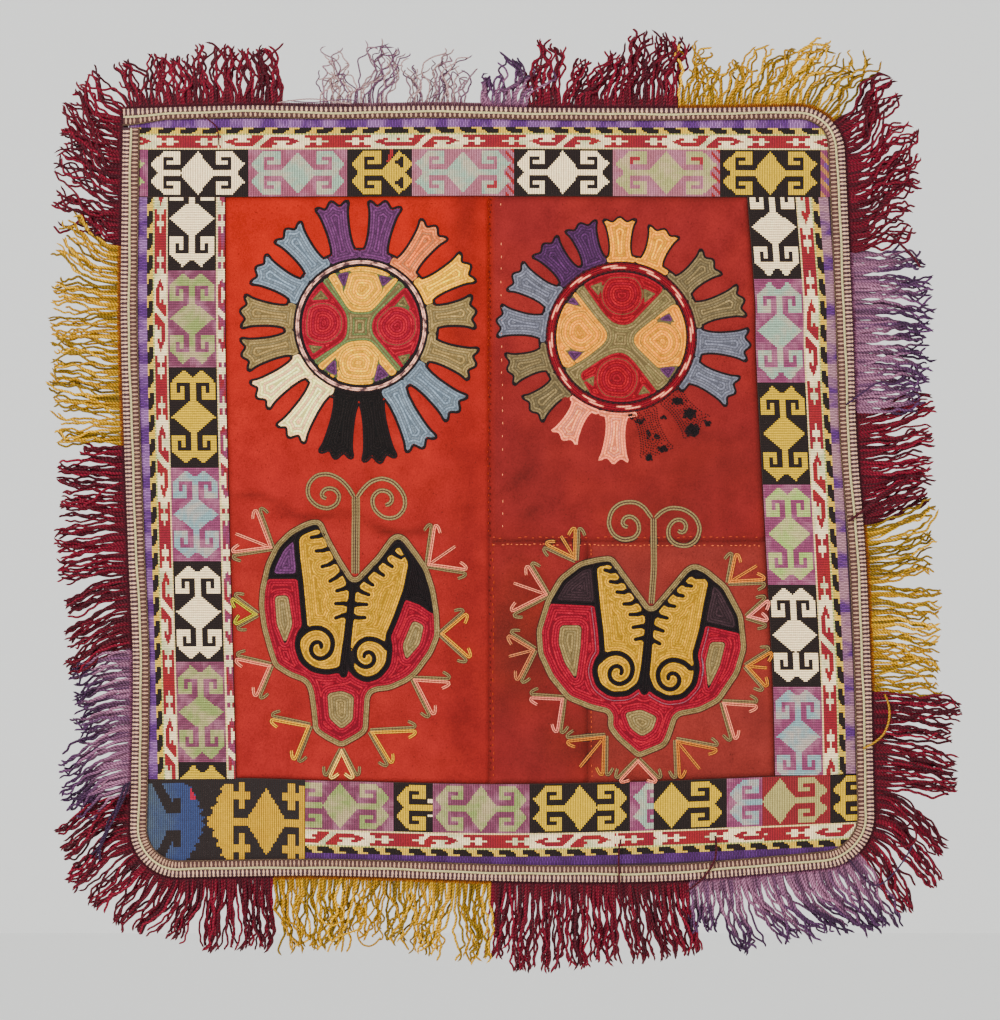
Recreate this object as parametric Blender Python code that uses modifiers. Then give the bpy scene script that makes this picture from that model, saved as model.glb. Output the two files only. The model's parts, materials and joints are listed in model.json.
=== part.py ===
"""Embroidered wall hanging: pieced wool ground, cross-stitched borders, edge braid and silk fringe.

It hangs in the XZ plane and faces -Y. The origin is the middle of its top edge. Sizes in the tables are
millimetres; the finished meshes are metres, +Z up.
"""
import math

import bmesh
import bpy
import numpy as np

MM = 0.001

# Corners of the cloth, clockwise from the top left, before they are rounded (x, z)
CORNERS = ((-255.0, -1.0), (248.0, 1.0), (271.0, -528.0), (-251.0, -539.0))
CORNER_RADII = (6.0, 32.0, 34.0, 36.0)
CORNER_STEPS = 24
ARC_PULL = 0.5523

# How far each side bows out from a straight line: (fraction of the side, clockwise; outward bow)
TOP_BOW = ((0, 0), (0.17, 1.8), (0.29, 0.7), (0.44, 1.2), (0.6, -0.6), (0.8, -1.0), (1, 0))
RIGHT_BOW = ((0, 0), (0.3, 0.2), (0.44, -0.5), (0.59, 2.2), (0.74, 2.4), (0.91, 0.6), (1, 0))
BOTTOM_BOW = ((0, 0), (0.12, 4.9), (0.28, 9.6), (0.43, 8.6), (0.52, 6.7), (0.73, 0.9), (0.88, 0), (1, 0))
LEFT_BOW = ((0, 0), (0.11, -1.9), (0.28, -4.0), (0.42, -1.4), (0.71, 2.7), (0.88, 1.4), (1, 0))
SIDE_BOWS = (TOP_BOW, RIGHT_BOW, BOTTOM_BOW, LEFT_BOW)

# Seams of the ground with the border strips: the vertical ones give (z, x), the level ones (x, z)
LEFT_SEAM = ((-475, -176.3), (-469, -176.4), (-400, -178.0), (-270, -181.5), (-160, -183.9), (-50, -184.0))
RIGHT_SEAM = ((-475, 201.2), (-468, 200.9), (-400, 199.3), (-310, 194.6), (-170, 187.4), (-135, 186.9),
              (-50, 180.5))
TOP_SEAM = ((-260, -62.0), (-184, -62.3), (0, -61.6), (181, -62.3), (260, -62.6))
BOTTOM_SEAM = ((-260, -470.5), (-176, -469.0), (-110, -470.8), (8, -473.2), (100, -471.6), (190, -468.3),
               (270, -465.0))
GROUND_SEAM_X = 1.0
CROSS_SEAM_Z = -303.5
SHORT_SEAM_X = 70.0
PATCH_SEAM_X = -128.0

# Layers: thickness of each kind of piece, and how far its middle lies in front of the cloth's mid-surface
GROUND_THICKNESS = 1.4
BORDER_THICKNESS = 2.0
BRAID_THICKNESS = 1.6
HEADING_THICKNESS = 1.4
BRAID_LAYER = 2.4
SEAM_GAP = 0.4

BRAID_WIDTH = 10.5
BRAID_CROWN = 0.5
BORDER_INSET = 3.8
HEADING_INSET = 3.4
HEADING_REACH = 2.4
GROUND_CELL = 19.0
BORDER_CELL = 17.0
BRAID_CELL = 27.0
BRAID_CORNER_CELL = 7.0

# Soft folds of the cloth: middle (x, z), direction in degrees, half length, half width, height to the front
FOLD_COLUMNS = ("x", "z", "direction", "half_length", "half_width", "height")
FOLDS = (
    (-95, -266, 4, 75, 12, 2.2),
    (-60, -287, -6, 70, 13, -2.0),
    (-150, -305, 12, 45, 16, 1.2),
    (-14, -130, 88, 75, 11, 2.0),
    (20, -150, 92, 90, 22, -1.2),
    (150, -250, -20, 90, 40, 1.6),
    (60, -420, 60, 110, 45, -1.6),
    (-120, -420, 100, 120, 60, 1.4),
    (-130, -140, 20, 110, 60, -1.2),
    (-170, -20, 70, 40, 18, 1.4),
    (60, -505, 5, 130, 30, 1.8),
    (215, -330, 85, 130, 30, -1.4),
    (-225, -350, 95, 140, 26, 1.6),
    (120, -25, 0, 130, 26, -1.2),
)

# Fringe: name, colour, start along the edge (clockwise from the top left corner), and its clumps as
# (width at the edge, reach out from it, drift along it). A reach of 0 leaves the heading bare.
FRINGE = (
    ("fringe_crimson_top_left", "crimson", -94,
     ((12, 28, 10), (16, 49, 17), (17, 49, 28), (18, 45, 26), (14, 46, 28), (11, 35, 26), (10, 40, 4),
      (13, 36, -12), (17, 40, -1), (16, 38, -4), (14, 45, -6), (19, 45, -1), (27, 43, -3))),
    ("fringe_faded_top", "faded", 110,
     ((26, 0, 0), (11, 43, 8), (13, 28, -1), (24, 46, 16), (13, 0, 0), (14, 31, 1), (14, 45, 9),
      (13, 29, 1), (11, 0, 0))),
    ("fringe_violet_top", "violet", 249, ((14, 24, -3), (19, 37, 5))),
    ("fringe_crimson_top", "crimson", 282,
     ((9, 36, -2), (14, 50, -1), (18, 35, 12), (21, 41, 13), (17, 56, 11), (26, 53, 10))),
    ("fringe_yellow_top", "yellow", 387,
     ((13, 50, 5), (14, 32, 2), (14, 33, 14), (12, 45, 21), (14, 45, 30), (16, 47, 30), (15, 45, 23),
      (13, 55, 4))),
    ("fringe_crimson_top_right", "crimson", 498,
     ((14, 52, -18), (12, 41, -38), (16, 51, -29), (16, 51, -25), (16, 52, -27), (10, 46, -23), (9, 48, -11))),
    ("fringe_violet_right", "violet", 591,
     ((16, 55, -1), (17, 60, 2), (18, 59, 7), (17, 54, 2), (18, 58, 7), (26, 49, -1))),
    ("fringe_crimson_right", "crimson", 703, ((16, 57, -13), (17, 56, -5), (21, 54, -2), (25, 47, -12))),
    ("fringe_yellow_right", "yellow", 782,
     ((14, 53, -16), (14, 51, -11), (14, 49, -4), (21, 53, 4), (21, 52, 7), (17, 51, 4), (16, 51, 3))),
    ("fringe_crimson_low_right", "crimson", 899,
     ((16, 65, 6), (17, 60, 6), (18, 61, 12), (17, 60, 7), (16, 51, 38), (17, 53, 35), (14, 55, 24))),
    ("fringe_violet_bottom", "violet", 1014,
     ((16, 61, 2), (17, 50, -30), (17, 49, -30), (18, 50, -29), (17, 50, -26), (18, 56, -11), (19, 40, 1))),
    ("fringe_crimson_bottom", "crimson", 1136,
     ((16, 55, -8), (17, 57, -10), (18, 59, -9), (17, 60, -2), (18, 64, -1), (17, 65, 3), (18, 65, 3),
      (17, 56, 2))),
    ("fringe_yellow_bottom", "yellow", 1274,
     ((25, 60, -4), (21, 56, 10), (17, 54, 5), (10, 48, -2), (20, 46, 8), (19, 55, 7), (21, 55, -2),
      (20, 57, -4))),
    ("fringe_crimson_low_left", "crimson", 1427,
     ((15, 55, -1), (16, 54, 2), (16, 54, 8), (14, 46, 18), (14, 44, 23), (14, 50, 7), (14, 50, -6),
      (16, 51, -22), (14, 48, -29), (10, 53, -26))),
    ("fringe_violet_left", "violet", 1570,
     ((10, 40, -22), (17, 51, -25), (18, 53, -23), (17, 42, -11), (18, 43, -9), (22, 46, -11))),
    ("fringe_crimson_left", "crimson", 1672,
     ((16, 49, -22), (18, 48, -19), (17, 48, -13), (18, 52, -4), (21, 53, -3), (21, 48, 4), (19, 50, 5),
      (12, 32, 3))),
    ("fringe_yellow_left", "yellow", 1814,
     ((15, 49, 3), (17, 52, 8), (21, 53, 9), (21, 51, 9), (17, 53, 0), (21, 50, 7), (16, 47, 22),
      (12, 42, 25))),
)
LOCK_PITCH = 7.6
LOCK_WIDTHS = (5.4, 6.4, 5.8, 5.0, 3.2)
LOCK_DEPTH = 2.2
TIP_PITCH = 4.0
LAYER_STEP = 2.5
TIP_UNEVEN = 6.0
WAVER = 0.9
GOLDEN = 0.618034

# Colour (linear), roughness
MATERIALS = {
    "red_wool": ((0.50, 0.045, 0.025), 0.9),
    "silk_embroidery": ((0.42, 0.34, 0.25), 0.6),
    "braid": ((0.62, 0.52, 0.36), 0.75),
    "crimson_silk": ((0.22, 0.006, 0.016), 0.55),
    "yellow_silk": ((0.58, 0.38, 0.07), 0.55),
    "violet_silk": ((0.20, 0.10, 0.30), 0.55),
    "faded_silk": ((0.45, 0.33, 0.36), 0.65),
}


def smooth_value(rows, at):
    """Value of a smooth curve through the (place, value) rows of a table."""
    places = [row[0] for row in rows]
    values = [row[1] for row in rows]
    at = min(max(at, places[0]), places[-1])
    i = min(max(int(np.searchsorted(places, at)) - 1, 0), len(rows) - 2)
    span = places[i + 1] - places[i]
    t = (at - places[i]) / span
    before = max(i - 1, 0)
    after = min(i + 2, len(rows) - 1)
    slope_in = (values[i + 1] - values[before]) / (places[i + 1] - places[before]) * span
    slope_out = (values[after] - values[i]) / (places[after] - places[i]) * span
    rise = values[i + 1] - values[i]
    square = 3 * rise - 2 * slope_in - slope_out
    cube = slope_in + slope_out - 2 * rise
    return values[i] + t * (slope_in + t * (square + t * cube))


def side_point(side, fraction):
    """Point of one side of the cloth, clockwise, with its bow."""
    start = np.array(CORNERS[side])
    end = np.array(CORNERS[(side + 1) % 4])
    along = end - start
    outward = np.array((-along[1], along[0])) / np.linalg.norm(along)
    return start + along * fraction + outward * smooth_value(SIDE_BOWS[side], fraction)


def bezier(start, first, last, end, t):
    """Point of a cubic curve that leaves start towards first and reaches end from last."""
    rest = 1 - t
    return rest ** 3 * start + 3 * rest * rest * t * first + 3 * rest * t * t * last + t ** 3 * end


def corner_points(start, corner, end):
    """Rounded corner as a cubic arc that leaves both sides smoothly."""
    first = start + (corner - start) * ARC_PULL
    last = end + (corner - end) * ARC_PULL
    return [bezier(start, first, last, end, t) for t in np.linspace(0, 1, CORNER_STEPS, endpoint=False)]


def build_outline():
    """Edge of the cloth from the middle of its top left corner: points, lengths along it, outward normals."""
    points = []
    for side in range(4):
        length = math.dist(CORNERS[side], CORNERS[(side + 1) % 4])
        start = CORNER_RADII[side] / length
        end = 1 - CORNER_RADII[(side + 1) % 4] / length
        for fraction in np.linspace(start, end, int(length), endpoint=False):
            points.append(side_point(side, fraction))
        following = (side + 1) % 4
        next_length = math.dist(CORNERS[following], CORNERS[(following + 1) % 4])
        leave = side_point(side, end)
        meet = side_point(following, CORNER_RADII[following] / next_length)
        points.extend(corner_points(leave, np.array(CORNERS[following]), meet))
    points = np.array(points)
    points = np.roll(points, CORNER_STEPS // 2, axis=0)
    steps = np.linalg.norm(np.roll(points, -1, axis=0) - points, axis=1)
    lengths = np.concatenate(((0.0,), np.cumsum(steps)))
    tangents = np.roll(points, -2, axis=0) - np.roll(points, 2, axis=0)
    tangents /= np.linalg.norm(tangents, axis=1)[:, None]
    normals = np.stack((-tangents[:, 1], tangents[:, 0]), axis=1)
    return points, lengths, normals


EDGE_POINTS, EDGE_LENGTHS, EDGE_NORMALS = build_outline()
PERIMETER = EDGE_LENGTHS[-1]


def edge_at(s, inset=0.0):
    """Point at s along the edge, moved in by inset, and the outward normal there."""
    s = s % PERIMETER
    closed_points = np.vstack((EDGE_POINTS, EDGE_POINTS[:1]))
    closed_normals = np.vstack((EDGE_NORMALS, EDGE_NORMALS[:1]))
    point = np.array([np.interp(s, EDGE_LENGTHS, closed_points[:, axis]) for axis in (0, 1)])
    normal = np.array([np.interp(s, EDGE_LENGTHS, closed_normals[:, axis]) for axis in (0, 1)])
    normal /= np.linalg.norm(normal)
    return point - normal * inset, normal


def pull_inside(x, z, inset):
    """Move a point that lies nearer the edge than inset, or past it, onto the line at that inset."""
    offsets = np.array((x, z)) - EDGE_POINTS
    nearest = int(np.argmin(np.sum(offsets * offsets, axis=1)))
    outward = float(offsets[nearest] @ EDGE_NORMALS[nearest])
    if outward > -inset:
        x, z = np.array((x, z)) - EDGE_NORMALS[nearest] * (outward + inset)
    return x, z


def cloth_depth(x, z):
    """How far the cloth's mid-surface lies in front of (-) or behind (+) the plane y = 0."""
    height = 0.0
    for row in FOLDS:
        fold = dict(zip(FOLD_COLUMNS, row))
        turn = math.radians(fold["direction"])
        dx = x - fold["x"]
        dz = z - fold["z"]
        along = (dx * math.cos(turn) + dz * math.sin(turn)) / fold["half_length"]
        across = (-dx * math.sin(turn) + dz * math.cos(turn)) / fold["half_width"]
        height += fold["height"] * math.exp(-along * along - across * across)
    return -height


def make_material(name):
    colour, roughness = MATERIALS[name]
    material = bpy.data.materials.new(name)
    material.use_nodes = True
    shader = material.node_tree.nodes["Principled BSDF"]
    shader.inputs["Base Color"].default_value = (*colour, 1.0)
    shader.inputs["Roughness"].default_value = roughness
    return material


def finish_object(mesh_builder, name, material, collection):
    bmesh.ops.recalc_face_normals(mesh_builder, faces=mesh_builder.faces)
    mesh = bpy.data.meshes.new(name)
    mesh_builder.to_mesh(mesh)
    mesh_builder.free()
    mesh.materials.append(material)
    mesh.shade_smooth()
    thing = bpy.data.objects.new(name, mesh)
    collection.objects.link(thing)


def mapped_sheet(name, place, cells_u, cells_v, thickness, material, collection):
    """Open grid whose points place(u, v) sets, given its thickness on both sides of the surface."""
    grid = bmesh.new()
    bmesh.ops.create_grid(grid, x_segments=cells_u, y_segments=cells_v, size=0.5)
    for vertex in grid.verts:
        x, y, z = place(vertex.co.x + 0.5, vertex.co.y + 0.5)
        vertex.co = (x * MM, y * MM, z * MM)
    mesh = bpy.data.meshes.new(name)
    grid.to_mesh(mesh)
    grid.free()
    mesh.materials.append(material)
    mesh.shade_smooth()
    sheet = bpy.data.objects.new(name, mesh)
    collection.objects.link(sheet)
    solidify = sheet.modifiers.new("thickness", "SOLIDIFY")
    solidify.thickness = thickness * MM
    solidify.offset = 0.0


def left_side_x(z):
    fraction = (z - CORNERS[3][1]) / (CORNERS[0][1] - CORNERS[3][1])
    return side_point(3, fraction)[0] + BORDER_INSET


def right_side_x(z):
    fraction = (z - CORNERS[1][1]) / (CORNERS[2][1] - CORNERS[1][1])
    return side_point(1, fraction)[0] - BORDER_INSET


def top_side_z(x):
    fraction = (x - CORNERS[0][0]) / (CORNERS[1][0] - CORNERS[0][0])
    return side_point(0, fraction)[1] - BORDER_INSET


def bottom_side_z(x):
    fraction = (x - CORNERS[2][0]) / (CORNERS[3][0] - CORNERS[2][0])
    return side_point(2, fraction)[1] + BORDER_INSET


def left_seam_x(z):
    return smooth_value(LEFT_SEAM, z)


def right_seam_x(z):
    return smooth_value(RIGHT_SEAM, z)


def top_seam_z(x):
    return smooth_value(TOP_SEAM, x)


def bottom_seam_z(x):
    return smooth_value(BOTTOM_SEAM, x)


def level(value):
    return lambda other: value


def make_panel(name, sides, thickness, cell, material, collection):
    """Flat piece of cloth between four side curves: left and right give x at z, bottom and top give z at x."""
    left, right, bottom, top = sides
    half_gap = SEAM_GAP / 2

    def place(u, v):
        x = left(-250.0) + (right(-250.0) - left(-250.0)) * u
        z = -250.0
        for _ in range(4):
            low = bottom(x) + half_gap
            high = top(x) - half_gap
            z = low + (high - low) * v
            near = left(z) + half_gap
            far = right(z) - half_gap
            x = near + (far - near) * u
        x, z = pull_inside(x, z, BORDER_INSET)
        return x, cloth_depth(x, z), z

    corners = [place(u, v) for u, v in ((0, 0), (1, 0), (1, 1), (0, 1))]
    cells_u = max(2, round(math.dist(corners[0], corners[1]) / cell))
    cells_v = max(2, round(math.dist(corners[1], corners[2]) / cell))
    mapped_sheet(name, place, cells_u, cells_v, thickness, material, collection)


def make_panels(materials, collection):
    seam = level(GROUND_SEAM_X)
    cross = level(CROSS_SEAM_Z)
    short_seam = level(SHORT_SEAM_X)
    patch = level(PATCH_SEAM_X)
    ground = {
        "ground_left": (left_seam_x, seam, bottom_seam_z, top_seam_z),
        "ground_upper_right": (seam, right_seam_x, cross, top_seam_z),
        "ground_lower_middle": (seam, short_seam, bottom_seam_z, cross),
        "ground_lower_right": (short_seam, right_seam_x, bottom_seam_z, cross),
    }
    borders = {
        "border_top": (left_side_x, right_side_x, top_seam_z, top_side_z),
        "border_right": (right_seam_x, right_side_x, bottom_seam_z, top_seam_z),
        "border_bottom": (patch, right_side_x, bottom_side_z, bottom_seam_z),
        "border_left": (left_side_x, left_seam_x, bottom_seam_z, top_seam_z),
        "corner_patch": (left_side_x, patch, bottom_side_z, bottom_seam_z),
    }
    for name, sides in ground.items():
        make_panel(name, sides, GROUND_THICKNESS, GROUND_CELL, materials["red_wool"], collection)
    for name, sides in borders.items():
        make_panel(name, sides, BORDER_THICKNESS, BORDER_CELL, materials["silk_embroidery"], collection)


def braid_stations():
    """Places along the edge for the braid's sections, closer together round the corners."""
    stations = [0.0]
    end = PERIMETER - BRAID_WIDTH - SEAM_GAP
    while stations[-1] < end - BRAID_CORNER_CELL:
        here = stations[-1]
        _, normal = edge_at(here)
        _, ahead = edge_at(here + BRAID_CELL)
        turning = math.acos(min(1.0, float(normal @ ahead)))
        stations.append(min(here + (BRAID_CORNER_CELL if turning > 0.12 else BRAID_CELL), end))
    stations[-1] = end
    return stations


def make_braid(material, collection):
    """One band round the edge in front of the borders; its end meets its own start at the top left."""
    stations = braid_stations()
    across_cells = 2

    def place(u, v):
        s = stations[round(u * (len(stations) - 1))]
        point, normal = edge_at(s, BRAID_WIDTH * (1 - v))
        if s < CORNER_RADII[0] + 1:
            point = side_point(0, 0.0 if s == 0 else s / (CORNERS[1][0] - CORNERS[0][0]))
            point = point - np.array((0.0, BRAID_WIDTH * (1 - v)))
        x, z = point
        crown = BRAID_CROWN if 0.25 < v < 0.75 else 0.0
        return x, cloth_depth(x, z) - BRAID_LAYER - crown, z

    mapped_sheet("braid_tape", place, len(stations) - 1, across_cells, BRAID_THICKNESS, material, collection)


def fraction_of(number):
    """Even but irregular-looking share between 0 and 1 for a counted thing."""
    return (number * GOLDEN) % 1.0


def lock_path(root_s, tip, wander, depth):
    """Centre line of a lock as a function of 0 to 1 from the heading to its tip (x, y, z)."""
    root, normal = edge_at(root_s, -HEADING_REACH)
    reach = np.linalg.norm(tip - root)
    first = root + normal * 0.42 * reach
    last = tip - (tip - root) * 0.25
    side = np.array((-(tip - root)[1], (tip - root)[0])) / reach
    base = cloth_depth(*root)

    def at(t):
        point = bezier(root, first, last, tip, t)
        point = point + side * WAVER * math.sin(5.5 * t + 2 * math.pi * wander) * t * (1.3 - t)
        ease = 1 - (1 - t) ** 2
        return np.array((point[0], base * (1 - ease) + depth * ease, point[1]))

    return at


def clump_locks(section_start, clumps, locks_before):
    """Locks of one section: place along the edge and centre line, clump by clump, lying in three layers."""
    locks = []
    start = section_start
    for clump_number, (width, reach, drift) in enumerate(clumps):
        middle = start + width / 2
        if reach > 0:
            edge, normal = edge_at(middle, -HEADING_REACH)
            clockwise = np.array((normal[1], -normal[0]))
            tip_middle = edge + normal * (reach - HEADING_REACH) + clockwise * drift
            run = tip_middle - edge
            sideways = np.array((run[1], -run[0])) / np.linalg.norm(run)
            count = max(1, round(width / LOCK_PITCH))
            for i in range(count):
                root_s = start + (i + 0.5) * width / count
                share = fraction_of(section_start + 7 * clump_number + 3 * i)
                shorter = run / np.linalg.norm(run) * TIP_UNEVEN * share
                tip = tip_middle + sideways * (i - (count - 1) / 2) * TIP_PITCH - shorter
                depth = LAYER_STEP * ((locks_before + len(locks)) % 3 - 1)
                locks.append((root_s, lock_path(root_s, tip, share, depth)))
        start += width
    return locks, start


def heading_vertex(builder, s, inset, depth):
    point, _ = edge_at(s, inset)
    x, z = point
    return builder.verts.new((x * MM, (cloth_depth(x, z) + depth) * MM, z * MM))


def make_fringe(name, section_start, clumps, locks_before, material, collection):
    """One closed body of a heading strip and the locks drawn out of its outer face. Gives the lock count."""
    locks, section_end = clump_locks(section_start, clumps, locks_before)
    builder = bmesh.new()
    front = -HEADING_THICKNESS / 2
    back = HEADING_THICKNESS / 2
    first_s = section_start + SEAM_GAP / 2
    last_s = section_end - SEAM_GAP / 2

    def corner_set(s):
        return {
            "outer_front": heading_vertex(builder, s, -HEADING_REACH, front),
            "outer_back": heading_vertex(builder, s, -HEADING_REACH, back),
            "inner_front": heading_vertex(builder, s, HEADING_INSET, front),
            "inner_back": heading_vertex(builder, s, HEADING_INSET, back),
        }

    start = corner_set(first_s)
    end = corner_set(last_s)
    builder.faces.new((start["outer_front"], start["outer_back"], start["inner_back"], start["inner_front"]))
    builder.faces.new((end["outer_front"], end["inner_front"], end["inner_back"], end["outer_back"]))
    previous = (start["outer_front"], start["outer_back"], start["inner_front"], start["inner_back"])
    for root_s, path in locks:
        half = LOCK_WIDTHS[0] / 2
        near = heading_vertex(builder, root_s - half, -HEADING_REACH, front)
        far = heading_vertex(builder, root_s + half, -HEADING_REACH, front)
        behind = heading_vertex(builder, root_s, -HEADING_REACH, back)
        inner_front = heading_vertex(builder, root_s, HEADING_INSET, front)
        inner_back = heading_vertex(builder, root_s, HEADING_INSET, back)
        join_heading(builder, previous, (near, behind, inner_front, inner_back))
        builder.faces.new((near, far, inner_front))
        grow_lock(builder, (near, far, behind), path)
        previous = (far, behind, inner_front, inner_back)
    closing = (end["outer_front"], end["outer_back"], end["inner_front"], end["inner_back"])
    join_heading(builder, previous, closing)
    finish_object(builder, name, material, collection)
    return len(locks)


def join_heading(builder, one, other):
    """Outer, front, back and inner faces of the heading between two places along it."""
    outer_front, outer_back, inner_front, inner_back = range(4)
    around = (outer_front, outer_back, inner_back, inner_front)
    for a, b in zip(around, around[1:] + around[:1]):
        builder.faces.new((one[a], other[a], other[b], one[b]))


def grow_lock(builder, ring, path):
    """Three-sided lock from its root ring, section by section, to a small closing face."""
    steps = len(LOCK_WIDTHS) - 1
    for step in range(1, steps + 1):
        t = step / steps
        centre = path(t)
        ahead = path(min(t + 0.02, 1.0)) - path(t - 0.02)
        sideways = np.array((ahead[2], 0.0, -ahead[0])) / math.hypot(ahead[0], ahead[2])
        half = LOCK_WIDTHS[step] / 2
        depth = np.array((0.0, LOCK_DEPTH / 2, 0.0))
        places = (centre - sideways * half - depth, centre + sideways * half - depth, centre + depth)
        following = tuple(builder.verts.new(place * MM) for place in places)
        for i in range(3):
            j = (i + 1) % 3
            builder.faces.new((ring[i], ring[j], following[j], following[i]))
        ring = following
    builder.faces.new(ring)


def build():
    for thing in list(bpy.data.objects):
        bpy.data.objects.remove(thing)
    collection = bpy.data.collections.new("embroidered_wall_hanging")
    bpy.context.scene.collection.children.link(collection)
    materials = {name: make_material(name) for name in MATERIALS}
    make_panels(materials, collection)
    make_braid(materials["braid"], collection)
    locks_before = 0
    for name, colour, section_start, clumps in FRINGE:
        silk = materials[colour + "_silk"]
        locks_before += make_fringe(name, section_start, clumps, locks_before, silk, collection)


build()
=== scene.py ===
"""Embroidered wall hanging: wool ground, cross-stitched borders, chain-stitched motifs, braid and fringe.

It hangs in the XZ plane and faces -Y. Sizes in the tables are millimetres; the finished meshes are metres.
Colours are screen values from 0 to 255 and become linear in tone().
"""
import json
import math

import bpy
import numpy as np

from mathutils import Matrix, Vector

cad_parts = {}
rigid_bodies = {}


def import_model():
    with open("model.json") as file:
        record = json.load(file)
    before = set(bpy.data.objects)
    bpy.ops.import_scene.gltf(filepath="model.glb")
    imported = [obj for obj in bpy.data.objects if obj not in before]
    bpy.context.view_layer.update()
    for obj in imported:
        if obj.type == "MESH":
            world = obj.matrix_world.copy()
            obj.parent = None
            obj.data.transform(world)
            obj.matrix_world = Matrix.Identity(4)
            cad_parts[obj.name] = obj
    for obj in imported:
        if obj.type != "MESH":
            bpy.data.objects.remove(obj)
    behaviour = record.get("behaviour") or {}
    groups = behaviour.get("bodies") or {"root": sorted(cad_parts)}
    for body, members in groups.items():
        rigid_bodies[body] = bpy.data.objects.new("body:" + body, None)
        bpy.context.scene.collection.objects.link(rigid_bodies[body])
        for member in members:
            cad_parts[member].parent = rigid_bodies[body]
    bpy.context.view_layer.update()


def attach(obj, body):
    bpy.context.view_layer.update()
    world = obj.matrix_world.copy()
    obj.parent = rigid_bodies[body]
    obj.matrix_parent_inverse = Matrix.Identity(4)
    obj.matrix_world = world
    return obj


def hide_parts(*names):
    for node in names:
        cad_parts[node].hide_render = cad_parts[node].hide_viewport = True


MM = 0.001
CENTIMETRE = 10

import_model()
for thing in bpy.context.view_layer.objects:
    thing.select_set(False)

# Cloth outline, seams and folds, as in the part
CORNERS = ((-255.0, -1.0), (248.0, 1.0), (271.0, -528.0), (-251.0, -539.0))
CORNER_RADII = (6.0, 32.0, 34.0, 36.0)
CORNER_STEPS = 24
ARC_PULL = 0.5523
TOP_BOW = ((0, 0), (0.17, 1.8), (0.29, 0.7), (0.44, 1.2), (0.6, -0.6), (0.8, -1.0), (1, 0))
RIGHT_BOW = ((0, 0), (0.3, 0.2), (0.44, -0.5), (0.59, 2.2), (0.74, 2.4), (0.91, 0.6), (1, 0))
BOTTOM_BOW = ((0, 0), (0.12, 4.9), (0.28, 9.6), (0.43, 8.6), (0.52, 6.7), (0.73, 0.9), (0.88, 0), (1, 0))
LEFT_BOW = ((0, 0), (0.11, -1.9), (0.28, -4.0), (0.42, -1.4), (0.71, 2.7), (0.88, 1.4), (1, 0))
SIDE_BOWS = (TOP_BOW, RIGHT_BOW, BOTTOM_BOW, LEFT_BOW)
LEFT_SEAM = ((-475, -176.3), (-469, -176.4), (-400, -178.0), (-270, -181.5), (-160, -183.9), (-50, -184.0))
RIGHT_SEAM = ((-475, 201.2), (-468, 200.9), (-400, 199.3), (-310, 194.6), (-170, 187.4), (-135, 186.9),
              (-50, 180.5))
TOP_SEAM = ((-260, -62.0), (-184, -62.3), (0, -61.6), (181, -62.3), (260, -62.6))
BOTTOM_SEAM = ((-260, -470.5), (-176, -469.0), (-110, -470.8), (8, -473.2), (100, -471.6), (190, -468.3),
               (270, -465.0))
CLOTH_MIDDLE_Z = -250.0
GROUND_SEAM_X = 1.0
CROSS_SEAM_Z = -303.5
SHORT_SEAM_X = 70.0
PATCH_SEAM_X = -128.0
BORDER_INSET = 3.8
GROUND_FRONT = 0.7
BORDER_FRONT = 0.8
STITCH_FRONT = 1.15

# Soft folds: middle (x, z), direction in degrees, half length, half width, height to the front.
# The last rows are the sharper creases that only the looks have.
FOLD_COLUMNS = ("x", "z", "direction", "half_length", "half_width", "height")
FOLDS = (
    (-95, -266, 4, 75, 12, 2.2),
    (-60, -287, -6, 70, 13, -2.0),
    (-150, -305, 12, 45, 16, 1.2),
    (-14, -130, 88, 75, 11, 2.0),
    (20, -150, 92, 90, 22, -1.2),
    (150, -250, -20, 90, 40, 1.6),
    (60, -420, 60, 110, 45, -1.6),
    (-120, -420, 100, 120, 60, 1.4),
    (-130, -140, 20, 110, 60, -1.2),
    (-170, -20, 70, 40, 18, 1.4),
    (60, -505, 5, 130, 30, 1.8),
    (215, -330, 85, 130, 30, -1.4),
    (-225, -350, 95, 140, 26, 1.6),
    (120, -25, 0, 130, 26, -1.2),
    (-112, -286, 3, 36, 4.0, -1.0),
    (-62, -293, -9, 40, 4.5, -1.1),
    (-150, -283, 14, 30, 5.0, 0.7),
)

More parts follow.
